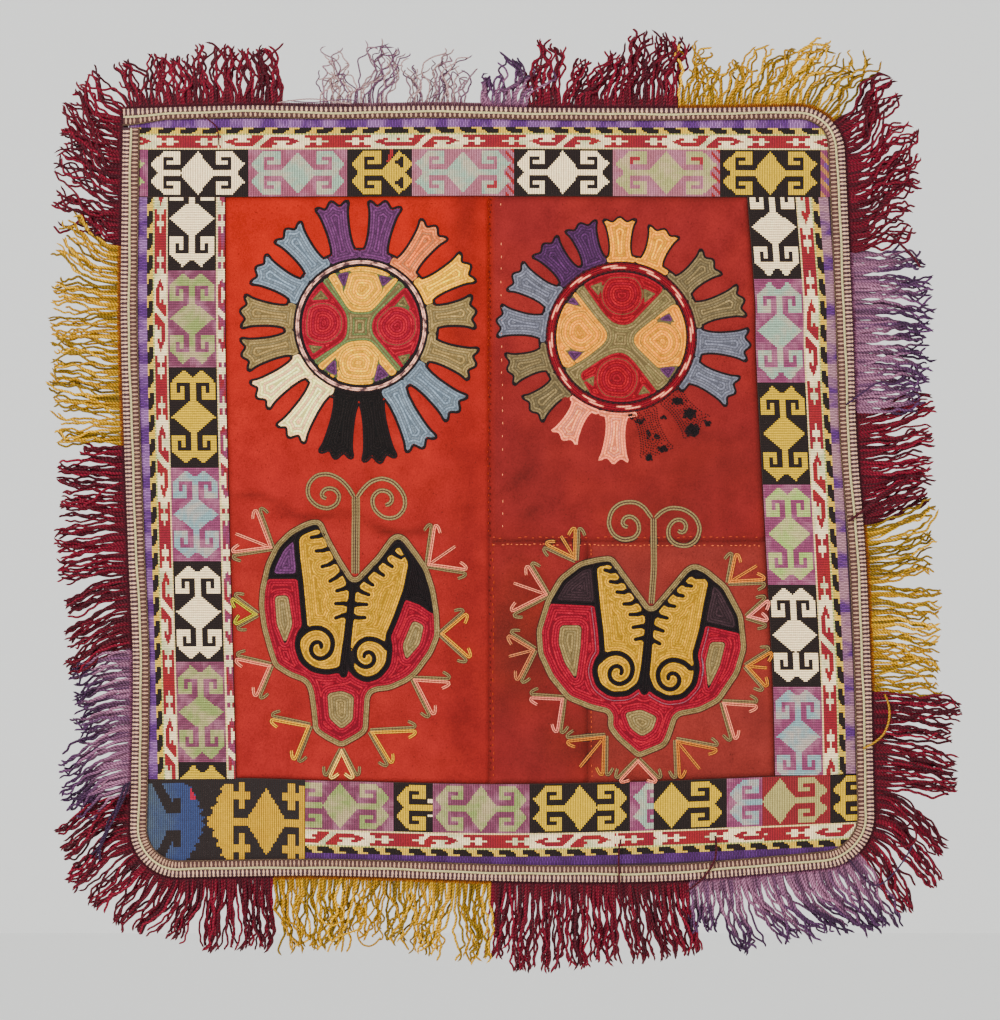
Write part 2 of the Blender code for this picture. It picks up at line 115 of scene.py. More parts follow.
# Fringe: name, which begins with its silk, and clumps as (width at the edge, reach outwards, drift along it),
# clockwise from FRINGE_START along the edge. A reach of 0 leaves the heading bare.
FRINGE_START = -94
FRINGE = (
    ("crimson_top_left", ((12, 28, 10), (16, 49, 17), (17, 49, 28), (18, 45, 26), (14, 46, 28),
     (11, 35, 26), (10, 40, 4), (13, 36, -12), (17, 40, -1), (16, 38, -4), (14, 45, -6), (19, 45, -1),
     (27, 43, -3))),
    ("faded_top", ((26, 0, 0), (11, 43, 8), (13, 28, -1), (24, 46, 16), (13, 0, 0), (14, 31, 1),
     (14, 45, 9), (13, 29, 1), (11, 0, 0))),
    ("violet_top", ((14, 24, -3), (19, 37, 5))),
    ("crimson_top", ((9, 36, -2), (14, 50, -1), (18, 35, 12), (21, 41, 13), (17, 56, 11), (26, 53, 10))),
    ("yellow_top", ((13, 50, 5), (14, 32, 2), (14, 33, 14), (12, 45, 21), (14, 45, 30), (16, 47, 30),
     (15, 45, 23), (13, 55, 4))),
    ("crimson_top_right", ((14, 52, -18), (12, 41, -38), (16, 51, -29), (16, 51, -25), (16, 52, -27),
     (10, 46, -23), (9, 48, -11))),
    ("violet_right", ((16, 55, -1), (17, 60, 2), (18, 59, 7), (17, 54, 2), (18, 58, 7), (26, 49, -1))),
    ("crimson_right", ((16, 57, -13), (17, 56, -5), (21, 54, -2), (25, 47, -12))),
    ("yellow_right", ((14, 53, -16), (14, 51, -11), (14, 49, -4), (21, 53, 4), (21, 52, 7), (17, 51, 4),
     (16, 51, 3))),
    ("crimson_low_right", ((16, 65, 6), (17, 60, 6), (18, 61, 12), (17, 60, 7), (16, 51, 38), (17, 53, 35),
     (14, 55, 24))),
    ("violet_bottom", ((16, 61, 2), (17, 50, -30), (17, 49, -30), (18, 50, -29), (17, 50, -26),
     (18, 56, -11), (19, 40, 1))),
    ("crimson_bottom", ((16, 55, -8), (17, 57, -10), (18, 59, -9), (17, 60, -2), (18, 64, -1), (17, 65, 3),
     (18, 65, 3), (17, 56, 2))),
    ("yellow_bottom", ((25, 60, -4), (21, 56, 10), (17, 54, 5), (10, 48, -2), (20, 46, 8), (19, 55, 7),
     (21, 55, -2), (20, 57, -4))),
    ("crimson_low_left", ((15, 55, -1), (16, 54, 2), (16, 54, 8), (14, 46, 18), (14, 44, 23), (14, 50, 7),
     (14, 50, -6), (16, 51, -22), (14, 48, -29), (10, 53, -26))),
    ("violet_left", ((10, 40, -22), (17, 51, -25), (18, 53, -23), (17, 42, -11), (18, 43, -9),
     (22, 46, -11))),
    ("crimson_left", ((16, 49, -22), (18, 48, -19), (17, 48, -13), (18, 52, -4), (21, 53, -3), (21, 48, 4),
     (19, 50, 5), (12, 32, 3))),
    ("yellow_left", ((15, 49, 3), (17, 52, 8), (21, 53, 9), (21, 51, 9), (17, 53, 0), (21, 50, 7),
     (16, 47, 22), (12, 42, 25))),
)

CREAM = (224, 213, 198)
BLACK = (24, 18, 17)
GOLD = (224, 200, 8)
MAUVE = (162, 88, 124)
PALE_MAUVE = (182, 128, 140)
DUSTY_MAUVE = (174, 108, 128)
GREEN = (184, 196, 142)
DULL_MOSS = (168, 176, 124)
DEEP_MAUVE = (148, 80, 108)
GREY_GREEN = (186, 182, 142)
AQUA = (174, 188, 176)
BLUE = (160, 180, 182)
RED = (188, 62, 66)
BRAID_CREAM = (228, 218, 200)
BRAID_BROWN = (108, 70, 66)
BRAID_GREY = (92, 62, 68)
OUTER_TOOTH = (222, 206, 194)
INNER_TOOTH = (214, 194, 178)
EDGING = (158, 134, 108)
PURPLE = (108, 66, 140)
DEEP_PURPLE = (84, 44, 112)
LILAC = (176, 146, 182)
OLIVE = (170, 150, 110)
DULL_GREEN = (134, 148, 98)
ROSE = (196, 42, 72)
CRIMSON = (190, 46, 62)
YELLOW = (224, 192, 112)
ORANGE_YELLOW = (224, 182, 104)
PEACH = (212, 156, 122)
PINK = (224, 172, 154)
PALE = (230, 207, 186)
INK = (30, 20, 22)
SUN_VIOLET = (124, 72, 120)
SUN_BLUE = (146, 158, 166)
DIM_OLIVE = (150, 132, 98)
DIM_BLUE = (138, 140, 150)
DIM_VIOLET = (98, 54, 104)
BROWN = (70, 44, 50)
TAN = (154, 134, 92)

dice = np.random.default_rng(7)

# How far the channels of a base colour stand apart for a screen colour
CHANNELS_APART = np.array(((1.36, -0.28, -0.08), (-0.14, 1.34, -0.20), (-0.14, -0.23, 1.37)))


def tone(colour):
    """Linear base colour that shows as these screen values in the light of the stage."""
    values = np.clip(np.asarray(colour, dtype=float) / 255, 0.01, 0.93)
    values = values - 0.32 * (values - values.mean(axis=-1, keepdims=True))
    light = 0.094 * (values / (1 - values)) ** 1.28
    return np.clip(light @ CHANNELS_APART.T, 0.001, 1.0)


def smooth_value(table, at):
    """Values of a smooth curve through the (place, value) rows of a table."""
    places, values = np.array(table, dtype=float).T
    at = np.clip(at, places[0], places[-1])
    i = np.clip(np.searchsorted(places, at) - 1, 0, len(table) - 2)
    span = places[i + 1] - places[i]
    t = (at - places[i]) / span
    before = np.maximum(i - 1, 0)
    after = np.minimum(i + 2, len(table) - 1)
    slope_in = (values[i + 1] - values[before]) / (places[i + 1] - places[before]) * span
    slope_out = (values[after] - values[i]) / (places[after] - places[i]) * span
    rise = values[i + 1] - values[i]
    square = 3 * rise - 2 * slope_in - slope_out
    cube = slope_in + slope_out - 2 * rise
    return values[i] + t * (slope_in + t * (square + t * cube))


def side_point(side, fraction):
    """Points of one side of the cloth, clockwise, with its bow."""
    start = np.array(CORNERS[side])
    along = np.array(CORNERS[(side + 1) % 4]) - start
    outward = np.array((-along[1], along[0])) / np.linalg.norm(along)
    fraction = np.asarray(fraction, dtype=float)
    bow = np.asarray(smooth_value(SIDE_BOWS[side], fraction))
    return start + along * fraction[..., None] + outward * bow[..., None]


def bezier(start, first, last, end, t):
    """Points of a cubic curve that leaves start towards first and reaches end from last."""
    t = np.asarray(t, dtype=float)[..., None]
    rest = 1 - t
    return rest ** 3 * start + 3 * rest * rest * t * first + 3 * rest * t * t * last + t ** 3 * end


def build_outline():
    """Edge of the cloth from the middle of its top left corner: points, lengths along it, outward normals."""
    points = []
    for side in range(4):
        following = (side + 1) % 4
        length = math.dist(CORNERS[side], CORNERS[following])
        start = CORNER_RADII[side] / length
        end = 1 - CORNER_RADII[following] / length
        points.append(side_point(side, np.linspace(start, end, int(length), endpoint=False)))
        next_length = math.dist(CORNERS[following], CORNERS[(following + 1) % 4])
        leave = side_point(side, end)
        meet = side_point(following, CORNER_RADII[following] / next_length)
        corner = np.array(CORNERS[following])
        steps = np.linspace(0, 1, CORNER_STEPS, endpoint=False)
        points.append(bezier(leave, leave + (corner - leave) * ARC_PULL, meet + (corner - meet) * ARC_PULL,
                             meet, steps))
    points = np.roll(np.vstack(points), CORNER_STEPS // 2, axis=0)
    steps = np.linalg.norm(np.roll(points, -1, axis=0) - points, axis=1)
    lengths = np.concatenate(((0.0,), np.cumsum(steps)))
    tangents = np.roll(points, -2, axis=0) - np.roll(points, 2, axis=0)
    tangents /= np.linalg.norm(tangents, axis=1)[:, None]
    normals = np.stack((-tangents[:, 1], tangents[:, 0]), axis=1)
    return np.vstack((points, points[:1])), lengths, np.vstack((normals, normals[:1]))


EDGE_POINTS, EDGE_LENGTHS, EDGE_NORMALS = build_outline()
PERIMETER = EDGE_LENGTHS[-1]


def edge_at(s, inset=0.0):
    """Points at s along the edge, moved in by inset, and the outward normals there."""
    s = np.asarray(s, dtype=float) % PERIMETER
    point = np.stack([np.interp(s, EDGE_LENGTHS, EDGE_POINTS[:, axis]) for axis in (0, 1)], axis=-1)
    normal = np.stack([np.interp(s, EDGE_LENGTHS, EDGE_NORMALS[:, axis]) for axis in (0, 1)], axis=-1)
    normal /= np.linalg.norm(normal, axis=-1)[..., None]
    return point - normal * np.asarray(inset, dtype=float)[..., None], normal


def pull_inside(x, z, inset):
    """Move points that lie nearer the edge than inset, or past it, onto the line at that inset."""
    places = np.stack((x, z), axis=1)
    for part in np.array_split(np.arange(len(places)), 1 + len(places) // 3000):
        offsets = places[part][:, None, :] - EDGE_POINTS[None, ::2]
        nearest = np.argmin(np.sum(offsets * offsets, axis=2), axis=1) * 2
        normals = EDGE_NORMALS[nearest]
        outward = np.sum((places[part] - EDGE_POINTS[nearest]) * normals, axis=1)
        over = np.maximum(outward + inset, 0.0)
        places[part] -= normals * over[:, None]
    return places[:, 0], places[:, 1]


def cloth_depth(x, z):
    """How far the cloth's mid-surface lies in front of (-) or behind (+) the plane y = 0."""
    height = np.zeros(np.shape(x))
    for row in FOLDS:
        fold = dict(zip(FOLD_COLUMNS, row))
        turn = math.radians(fold["direction"])
        dx = x - fold["x"]
        dz = z - fold["z"]
        along = (dx * math.cos(turn) + dz * math.sin(turn)) / fold["half_length"]
        across = (-dx * math.sin(turn) + dz * math.cos(turn)) / fold["half_width"]
        height += fold["height"] * np.exp(-along * along - across * across)
    return -height


def side_line(side, axis, moved):
    """Function that gives one coordinate of a side, moved by a step, from the other coordinate."""
    start = CORNERS[side][1 - axis]
    length = CORNERS[(side + 1) % 4][1 - axis] - start
    return lambda other: side_point(side, (other - start) / length)[..., axis] + moved


def seam_line(table):
    return lambda other: smooth_value(table, other)


left_side_x = side_line(3, 0, BORDER_INSET)
right_side_x = side_line(1, 0, -BORDER_INSET)
top_side_z = side_line(0, 1, -BORDER_INSET)
bottom_side_z = side_line(2, 1, BORDER_INSET)
left_seam_x = seam_line(LEFT_SEAM)
right_seam_x = seam_line(RIGHT_SEAM)
top_seam_z = seam_line(TOP_SEAM)
bottom_seam_z = seam_line(BOTTOM_SEAM)


def level(value):
    return lambda other: value + 0.0 * other


def wander(x, z, size, seed=0.0):
    """Soft irregular value from 0 to 1 over the cloth, with patches of about that size."""
    a = np.sin(x / size * 1.7 + seed) * np.cos(z / size * 1.3 - 2.1 * seed)
    b = np.sin((x + z) / size * 2.9 + 1.7 * seed + 1.3 * a)
    c = np.sin((x - 1.6 * z) / size * 5.3 - 0.9 * seed + 1.9 * b)
    return 0.5 + 0.25 * a + 0.15 * b + 0.1 * c


def mixed(one, other, share):
    """Blend of linear colours, share of the other one."""
    share = np.asarray(share, dtype=float)[..., None]
    return one * (1 - share) + other * share


# Meshes


def make_piece(name, points, faces, material, tints=None, uvs=None):
    """Smooth mesh of four-cornered faces. Tints and uvs are given for each point or for each face corner."""
    faces = np.asarray(faces, dtype=np.int32)
    corners = faces.ravel()
    mesh = bpy.data.meshes.new(name)
    mesh.vertices.add(len(points))
    mesh.vertices.foreach_set("co", (np.asarray(points) * MM).astype(np.float32).ravel())
    mesh.loops.add(len(corners))
    mesh.loops.foreach_set("vertex_index", corners)
    mesh.polygons.add(len(faces))
    mesh.polygons.foreach_set("loop_start", np.arange(0, len(corners), 4, dtype=np.int32))
    mesh.polygons.foreach_set("use_smooth", np.ones(len(faces), dtype=bool))
    if uvs is not None:
        if len(uvs) != len(corners):
            uvs = uvs[corners]
        mesh.uv_layers.new(name="UVMap").data.foreach_set("uv", np.asarray(uvs, dtype=np.float32).ravel())
    if tints is not None:
        if len(tints) != len(corners):
            tints = tints[corners]
        layer = mesh.color_attributes.new("Tint", "FLOAT_COLOR", "CORNER")
        opaque = np.hstack((tints, np.ones((len(tints), 1))))
        layer.data.foreach_set("color", opaque.astype(np.float32).ravel())
    mesh.update(calc_edges=True)
    mesh.materials.append(material)
    piece = bpy.data.objects.new(name, mesh)
    bpy.context.scene.collection.objects.link(piece)
    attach(piece, "root")
    return piece


def in_front(places, height):
    """Points at a height in front of the cloth's mid-surface, from places (x, z)."""
    x = places[..., 0]
    z = places[..., 1]
    return np.stack((x, cloth_depth(x, z) - height, z), axis=-1)


def run_along(line):
    """Lengths along a line up to each of its points."""
    return np.concatenate(((0.0,), np.cumsum(np.linalg.norm(np.diff(line, axis=0), axis=1))))


def left_of(line, closed=False):
    """Unit vectors to the left of a line at each of its points."""
    if closed:
        tangent = np.roll(line, -1, axis=0) - np.roll(line, 1, axis=0)
    else:
        tangent = np.gradient(line, axis=0)
    tangent /= np.maximum(np.linalg.norm(tangent, axis=1), 1e-6)[:, None]
    return np.stack((-tangent[:, 1], tangent[:, 0]), axis=1)


def grid_faces(row_count, column_count):
    """Faces of a grid of points whose index is row * column_count + column."""
    index = np.arange(row_count * column_count).reshape(row_count, column_count)
    return np.stack((index[:-1, :-1], index[1:, :-1], index[1:, 1:], index[:-1, 1:]), axis=-1).reshape(-1, 4)


def sheet_faces(row_count, column_count):
    """Faces of a thin closed sheet: a front grid, a back grid after it, and the rim between them."""
    count = row_count * column_count
    front = grid_faces(row_count, column_count)
    index = np.arange(count).reshape(row_count, column_count)
    rim = np.concatenate((index[:-1, 0], index[-1, :-1], index[:0:-1, -1], index[0, :0:-1]))
    following = np.roll(rim, -1)
    sides = np.stack((following, rim, rim + count, following + count), axis=1)
    return np.vstack((front, front[:, ::-1] + count, sides))


def make_sheet(name, x, z, depth, back, material, tint=None):
    """Closed thin sheet from a grid of places; depth is its front surface, back the thickness behind it."""
    front = np.stack((x.ravel(), depth.ravel(), z.ravel()), axis=1)
    points = np.vstack((front, front + np.array((0.0, back, 0.0))))
    tints = None if tint is None else np.vstack((tint, tint))
    piece = make_piece(name, points, sheet_faces(*x.shape), material, tints, points[:, (0, 2)] / CENTIMETRE)
    return piece


# Materials


class Nodes:
    """Node tree of a new material with a Principled shader."""

    def __init__(self, name, roughness, sheen=0.0):
        self.material = bpy.data.materials.new(name)
        self.material.use_nodes = True
        self.tree = self.material.node_tree
        self.shader = self.tree.nodes["Principled BSDF"]
        self.shader.inputs["Roughness"].default_value = roughness
        self.shader.inputs["Specular IOR Level"].default_value = 0.12
        self.shader.inputs["Sheen Weight"].default_value = sheen
        self.shader.inputs["Sheen Roughness"].default_value = 0.5

    def add(self, kind, **settings):
        node = self.tree.nodes.new(kind)
        for key, value in settings.items():
            setattr(node, key, value)
        return node

    def link(self, source, target):
        self.tree.links.new(source, target)

    def math(self, operation, first, second=None, clamp=False):
        """Output of a maths node on sockets or numbers."""
        node = self.add("ShaderNodeMath", operation=operation, use_clamp=clamp)
        for socket, value in zip(node.inputs, (first, second)):
            if isinstance(value, bpy.types.NodeSocket):
                self.link(value, socket)
            elif value is not None:
                socket.default_value = value
        return node.outputs[0]

    def noise(self, vector, scale, detail=2.0):
        node = self.add("ShaderNodeTexNoise")
        node.inputs["Scale"].default_value = scale
        node.inputs["Detail"].default_value = detail
        self.link(vector, node.inputs["Vector"])
        return node.outputs["Fac"]

    def mix(self, share, first, second, blend="MIX"):
        """Output of a colour mix of sockets or colours."""
        node = self.add("ShaderNodeMix", data_type="RGBA", blend_type=blend)
        for socket, value in zip((node.inputs[0], node.inputs[6], node.inputs[7]), (share, first, second)):
            if isinstance(value, bpy.types.NodeSocket):
                self.link(value, socket)
            elif np.isscalar(value):
                socket.default_value = value
            else:
                socket.default_value = (*value, 1.0)
        return node.outputs[2]

    def bump(self, height, distance, strength=1.0):
        node = self.add("ShaderNodeBump")
        node.inputs["Distance"].default_value = distance
        node.inputs["Strength"].default_value = strength
        self.link(height, node.inputs["Height"])
        self.link(node.outputs["Normal"], self.shader.inputs["Normal"])

    def colour(self, socket):
        self.link(socket, self.shader.inputs["Base Color"])

    def tint(self):
        return self.add("ShaderNodeVertexColor", layer_name="Tint").outputs["Color"]

    def uv(self):
        """Both coordinates of the piece's own map."""
        split = self.add("ShaderNodeSeparateXYZ")
        self.link(self.add("ShaderNodeUVMap", uv_map="UVMap").outputs["UV"], split.inputs[0])
        return split.outputs[0], split.outputs[1]

    def product(self, first, second):
        return self.math("MULTIPLY", first, second)

    def ramp(self, value, start, slope):
        """Value from 0 at start up to 1, rising by slope."""
        return self.math("MULTIPLY", self.math("SUBTRACT", value, start), slope, True)

    def crown(self, fall):
        """Height that falls from 1."""
        return self.math("SUBTRACT", 1.0, fall)


def centred(nodes, value):
    """Distance from the middle of each whole step, from 0 there to 1 at its ends."""
    shifted = nodes.math("SUBTRACT", nodes.math("FRACT", value), 0.5)
    return nodes.product(nodes.math("ABSOLUTE", shifted), 2.0)


def wool_material():
    nodes = Nodes("red_wool", 0.95, 0.03)
    place = nodes.add("ShaderNodeTexCoord").outputs["Object"]
    tint = nodes.tint()
    patches = nodes.noise(place, 55.0, 5.0)
    weave = nodes.noise(place, 900.0, 2.0)
    specks = nodes.math("GREATER_THAN", nodes.noise(place, 620.0, 1.0), 0.72)
    shade = nodes.math("ADD", nodes.product(patches, 0.9), nodes.product(weave, 0.7))
    mottled = nodes.mix(1.0, tint, nodes.math("ADD", shade, 0.2), "MULTIPLY")
    nodes.colour(nodes.mix(nodes.product(specks, 0.5), mottled, tone((100, 30, 24))))
    nodes.bump(nodes.math("ADD", weave, nodes.product(patches, 0.7)), 0.0006, 0.55)
    return nodes.material


def stitch_material():
    """Cross stitch: uv counts columns along a strip and rows across it; columns part in fine dark lines."""
    nodes = Nodes("cross_stitch", 0.8, 0.02)
    column, row = (centred(nodes, part) for part in nodes.uv())
    shade = nodes.math("MAXIMUM", nodes.ramp(column, 0.36, 2.1), nodes.ramp(row, 0.66, 1.3))
    brighter = nodes.mix(1.0, nodes.tint(), (1.34, 1.32, 1.3), "MULTIPLY")
    nodes.colour(nodes.mix(nodes.product(shade, 0.84), brighter, tone((64, 44, 40))))
    row_height = nodes.product(nodes.product(row, row), 0.6)
    nodes.bump(nodes.crown(nodes.math("ADD", nodes.product(column, column), row_height)), 0.0004, 0.7)
    return nodes.material


def chain_material():
    """Chain stitch: uv runs along the row in stitches and from -1 to 1 across it."""
    nodes = Nodes("chain_stitch", 0.75, 0.02)
    run, side = nodes.uv()
    across = nodes.math("ABSOLUTE", side)
    loop = centred(nodes, nodes.math("ADD", run, nodes.product(across, 0.45)))
    shade = nodes.math("MAXIMUM", nodes.ramp(across, 0.6, 2.5), nodes.ramp(loop, 0.7, 2.2))
    brighter = nodes.mix(1.0, nodes.tint(), (1.14, 1.12, 1.12), "MULTIPLY")
    nodes.colour(nodes.mix(nodes.product(shade, 0.86), brighter, tone((50, 28, 24))))
    nodes.bump(nodes.crown(nodes.product(loop, loop)), 0.0004, 0.6)
    return nodes.material


def silk_material(name, roughness):
    """Twisted cord: uv runs along the cord in turns of its twist and once round it."""
    nodes = Nodes(name, roughness, 0.03)
    tint = nodes.tint()
    run, turn = nodes.uv()
    ply = centred(nodes, nodes.math("ADD", run, nodes.product(turn, 2.0)))
    # Painted shade in the grooves between the twisted plies.
    groove_shade = nodes.mix(1.0, tint, tone((110, 90, 100)), "MULTIPLY")
    nodes.colour(nodes.mix(nodes.ramp(ply, 0.45, 1.5), tint, groove_shade))
    nodes.bump(nodes.crown(nodes.product(ply, ply)), 0.0005, 0.7)
    return nodes.material


def plain_material(name, colour, roughness):
    nodes = Nodes(name, roughness)
    nodes.shader.inputs["Base Color"].default_value = (*tone(colour), 1.0)
    return nodes.material


def tinted_material(name, roughness):
    nodes = Nodes(name, roughness)
    nodes.colour(nodes.tint())
    return nodes.material


WOOL = wool_material()
BRAID_CLOTH = tinted_material("braid_ground", 0.9)
STITCH = stitch_material()
CHAIN = chain_material()
SILK = silk_material("twisted_silk", 0.5)
BRAID_YARN = silk_material("braid_yarn", 0.7)
BACKING = plain_material("border_backing", (96, 70, 62), 0.9)


# Ground


def panel_places(sides, cells_u, cells_v):
    """Grid of places between four side curves: left and right give x at z, bottom and top give z at x."""
    left, right, bottom, top = sides
    u, v = np.meshgrid(np.linspace(0, 1, cells_u + 1), np.linspace(0, 1, cells_v + 1), indexing="ij")
    z = np.full(u.shape, CLOTH_MIDDLE_Z)
    x = left(z) + (right(z) - left(z)) * u
    for _ in range(4):
        z = bottom(x) + (top(x) - bottom(x)) * v
        x = left(z) + (right(z) - left(z)) * u
    return x, z


def panel_grid(sides, cell, fewest=2):
    """Places of a panel in cells of about that size, and its width and height across the middle."""
    x, z = panel_places(sides, 2, 2)
    wide = x[-1, 1] - x[0, 1]
    high = z[1, -1] - z[1, 0]
    x, z = panel_places(sides, max(fewest, round(wide / cell)), max(fewest, round(high / cell)))
    return x, z, wide, high


# Brown stains of the ground: middle (x, z), radii, strength
STAINS = (
    (22, -372, 42, 60, 0.75), (70, -345, 60, 26, 0.35), (60, -445, 40, 30, 0.55), (150, -250, 90, 40, 0.3),
    (120, -280, 70, 22, 0.35), (-60, -235, 30, 20, 0.15), (30, -260, 50, 60, 0.25),
)

# Shadows of small creases: middle (x, z), direction in degrees, half length, half width, strength
SHADOWS = (
    (-160, -274, -16, 22, 3.2, 0.5), (-122, -285, -3, 26, 3.4, 0.6), (-70, -294, -12, 18, 3.8, 0.7),
    (-42, -298, 0, 18, 3.6, 0.5), (22, -260, 40, 7, 4.0, 0.4), (29, -283, 30, 6, 4.0, 0.4),
)


def ground_tint(x, z):
    """Red of the wool, brighter on the left and duller on the right, with worn and stained patches and
    painted fold shadows.
    """
    left_red = mixed(tone((184, 61, 59)), tone((202, 67, 60)), np.clip((z + 300) / 200, 0, 1))
    right_red = tone((164, 52, 52))
    low_right = tone((162, 62, 57))
    tint = mixed(left_red, right_red, x > GROUND_SEAM_X)
    tint = mixed(tint, low_right, (x > SHORT_SEAM_X) & (z < CROSS_SEAM_Z))
    # Painted shade of the soft fold just left of the middle seam.
    seam_fold_shade = np.exp(-((x + 16) / 15) ** 2) * (x < GROUND_SEAM_X)
    tint = mixed(tint, tone((150, 40, 38)), 0.6 * seam_fold_shade * (0.4 + wander(x, z, 60, 2.0)))
    stain = np.zeros(x.shape)
    for middle_x, middle_z, radius_x, radius_z, strength in STAINS:
        away = ((x - middle_x) / radius_x) ** 2 + ((z - middle_z) / radius_z) ** 2
        stain = np.maximum(stain, strength * np.exp(-away * (0.7 + wander(x, z, 14, 5.0))))
    stain *= x > GROUND_SEAM_X
    tint = mixed(tint, tone((96, 34, 26)), stain)
    for middle_x, middle_z, turn, half_length, half_width, strength in SHADOWS:
        across = z - middle_z - (x - middle_x) * math.tan(math.radians(turn)) - 2.5 * np.sin(x / 9)
        shadow = np.exp(-((x - middle_x) / half_length) ** 2 - (across / half_width) ** 2)
        tint = mixed(tint, tone((86, 26, 20)), strength * shadow)
    return mixed(tint, tone((204, 84, 70)), 0.2 * wander(x, z, 45, 1.0) ** 2)


def make_ground():
    seam = level(GROUND_SEAM_X)
    cross = level(CROSS_SEAM_Z)
    short_seam = level(SHORT_SEAM_X)
    panels = {
        "ground_left": (left_seam_x, seam, bottom_seam_z, top_seam_z),
        "ground_upper_right": (seam, right_seam_x, cross, top_seam_z),
        "ground_lower_middle": (seam, short_seam, bottom_seam_z, cross),
        "ground_lower_right": (short_seam, right_seam_x, bottom_seam_z, cross),
    }
    for name, sides in panels.items():
        x, z, wide, high = panel_grid(sides, 3.5 if name == "ground_left" else 4.5)
        edge = np.minimum(np.minimum(x - x[:1], x[-1:] - x), np.minimum(z - z[:, :1], z[:, -1:] - z))
        depth = cloth_depth(x, z) - GROUND_FRONT + 0.6 * np.exp(-edge / 1.2)
        tint = ground_tint(x.ravel(), z.ravel())
        # Painted shade at the seams: each panel darkens towards its edges, where it meets the next part.
        shade_and_wear = np.exp(-edge.ravel() / 2.0) * 0.5
        tint = mixed(tint, tone((130, 34, 28)), shade_and_wear)
        piece = make_sheet("cloth_" + name, x, z, depth, 2 * GROUND_FRONT, WOOL, tint)
        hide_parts(name)


# Cross-stitched borders

BACKING_THICKNESS = 1.8
STITCH_PITCH = 1.19
BLOCK_COLUMNS = 60
BLOCK_ROWS = 25

# Strips of each border outwards from the ground seam: kind, rows, width
TOP_STRIPS = (("blocks", 25, 32.9), ("meander", 10, 9.9), ("stair", 5, 5.3), ("purple", 5, 6.1),
              ("plain", 4, 5.5))
RIGHT_STRIPS = (("blocks", 25, 33.6), ("meander", 10, 10.4), ("stair", 5, 5.6), ("purple", 6, 6.6),
                ("plain", 7, 9.0))
BOTTOM_STRIPS = (("blocks", 25, 34.2), ("meander", 10, 10.4), ("stair", 5, 5.8), ("purple", 6, 6.4),
                 ("plain", 6, 9.0))
LEFT_STRIPS = (("inner", 5, 6.0), ("blocks", 25, 33.9), ("meander", 10, 9.2), ("stair", 5, 5.2),
               ("purple", 6, 6.5), ("plain", 4, 5.2))

# Blocks: start along the border, light colour, dark colour, first column that shows; then the last one's end
TOP_BLOCKS = (
    (-256, GREEN, MAUVE, 46), (-238, CREAM, BLACK, 0), (-168, AQUA, DUSTY_MAUVE, 0), (-98, GOLD, BLACK, 0),
    (-53, AQUA, PALE_MAUVE, 0), (18, CREAM, BLACK, 0), (87, GREY_GREEN, PALE_MAUVE, 0),
    (162.4, GOLD, BLACK, 0), (232.4, YELLOW, MAUVE, 0), (256,),
)
RIGHT_BLOCKS = (
    (62, CREAM, BLACK, 12), (119.7, AQUA, MAUVE, 0), (192.5, GOLD, BLACK, 0), (263.2, GREEN, MAUVE, 0),
    (333.2, CREAM, BLACK, 0), (404.6, BLUE, MAUVE, 0), (475,),
)
LEFT_BLOCKS = (
    (62, CREAM, BLACK, 17), (113.4, DULL_MOSS, DEEP_MAUVE, 0), (181.3, GOLD, BLACK, 0),
    (251.3, BLUE, MAUVE, 0), (317.8, CREAM, BLACK, 0), (387.8, DULL_MOSS, DEEP_MAUVE, 0),
    (457.8, GOLD, BLACK, 0), (475,),
)
BOTTOM_BLOCKS = (
    (-130, DULL_MOSS, DEEP_MAUVE, 8), (-66.5, GOLD, BLACK, 0), (-39.2, DULL_MOSS, DEEP_MAUVE, 0),
    (29.4, GOLD, BLACK, 0), (99.4, AQUA, MAUVE, 0), (116.2, GOLD, BLACK, 20), (166.6, BLUE, MAUVE, 0),
    (192.5, (190, 180, 138), (172, 56, 62), 20), (239.4, GOLD, BLACK, 0), (275,),
)

# Starts of the blocks that differ from the others
HOLED_BLOCK = -98
CUT_OFF_BLOCK = -66.5
FAR_HOOKS_BLOCK = 87
SLANTED_BLOCK = 232.4

# A block under this length is cut off
SHORT_BLOCK = 60


def block_is_light(column, row):
    """Pattern of a block: a diamond on a stem between hooked rams' horns, the same in all four quarters."""
    c = np.minimum(column, BLOCK_COLUMNS - column)
    r = np.minimum(row, BLOCK_ROWS - row)
    chevron = np.where(r < 7.9, 1.7 + (7.9 - r) * 1.15, 1.7 + (r - 7.9) * 1.1)
    outer = (c >= chevron) & (c <= 9.5) & (r > 1)
    top_bar = (r > 1) & (r < 4) & (c >= 9) & (c <= 19.3)
    inner_bar = (r > 1) & (r < 8) & (c >= 15.7) & (c <= 19.3)
    hook = (r > 6) & (r < 8) & (c >= 11.6) & (c <= 19.3)
    stem = (r > 11) & (c >= 6) & (c <= 20)
    diamond = np.abs(c - 30) / 10.9 + np.abs(r - 12.5) / 11.4 <= 1
    return outer | top_bar | inner_bar | hook | stem | diamond


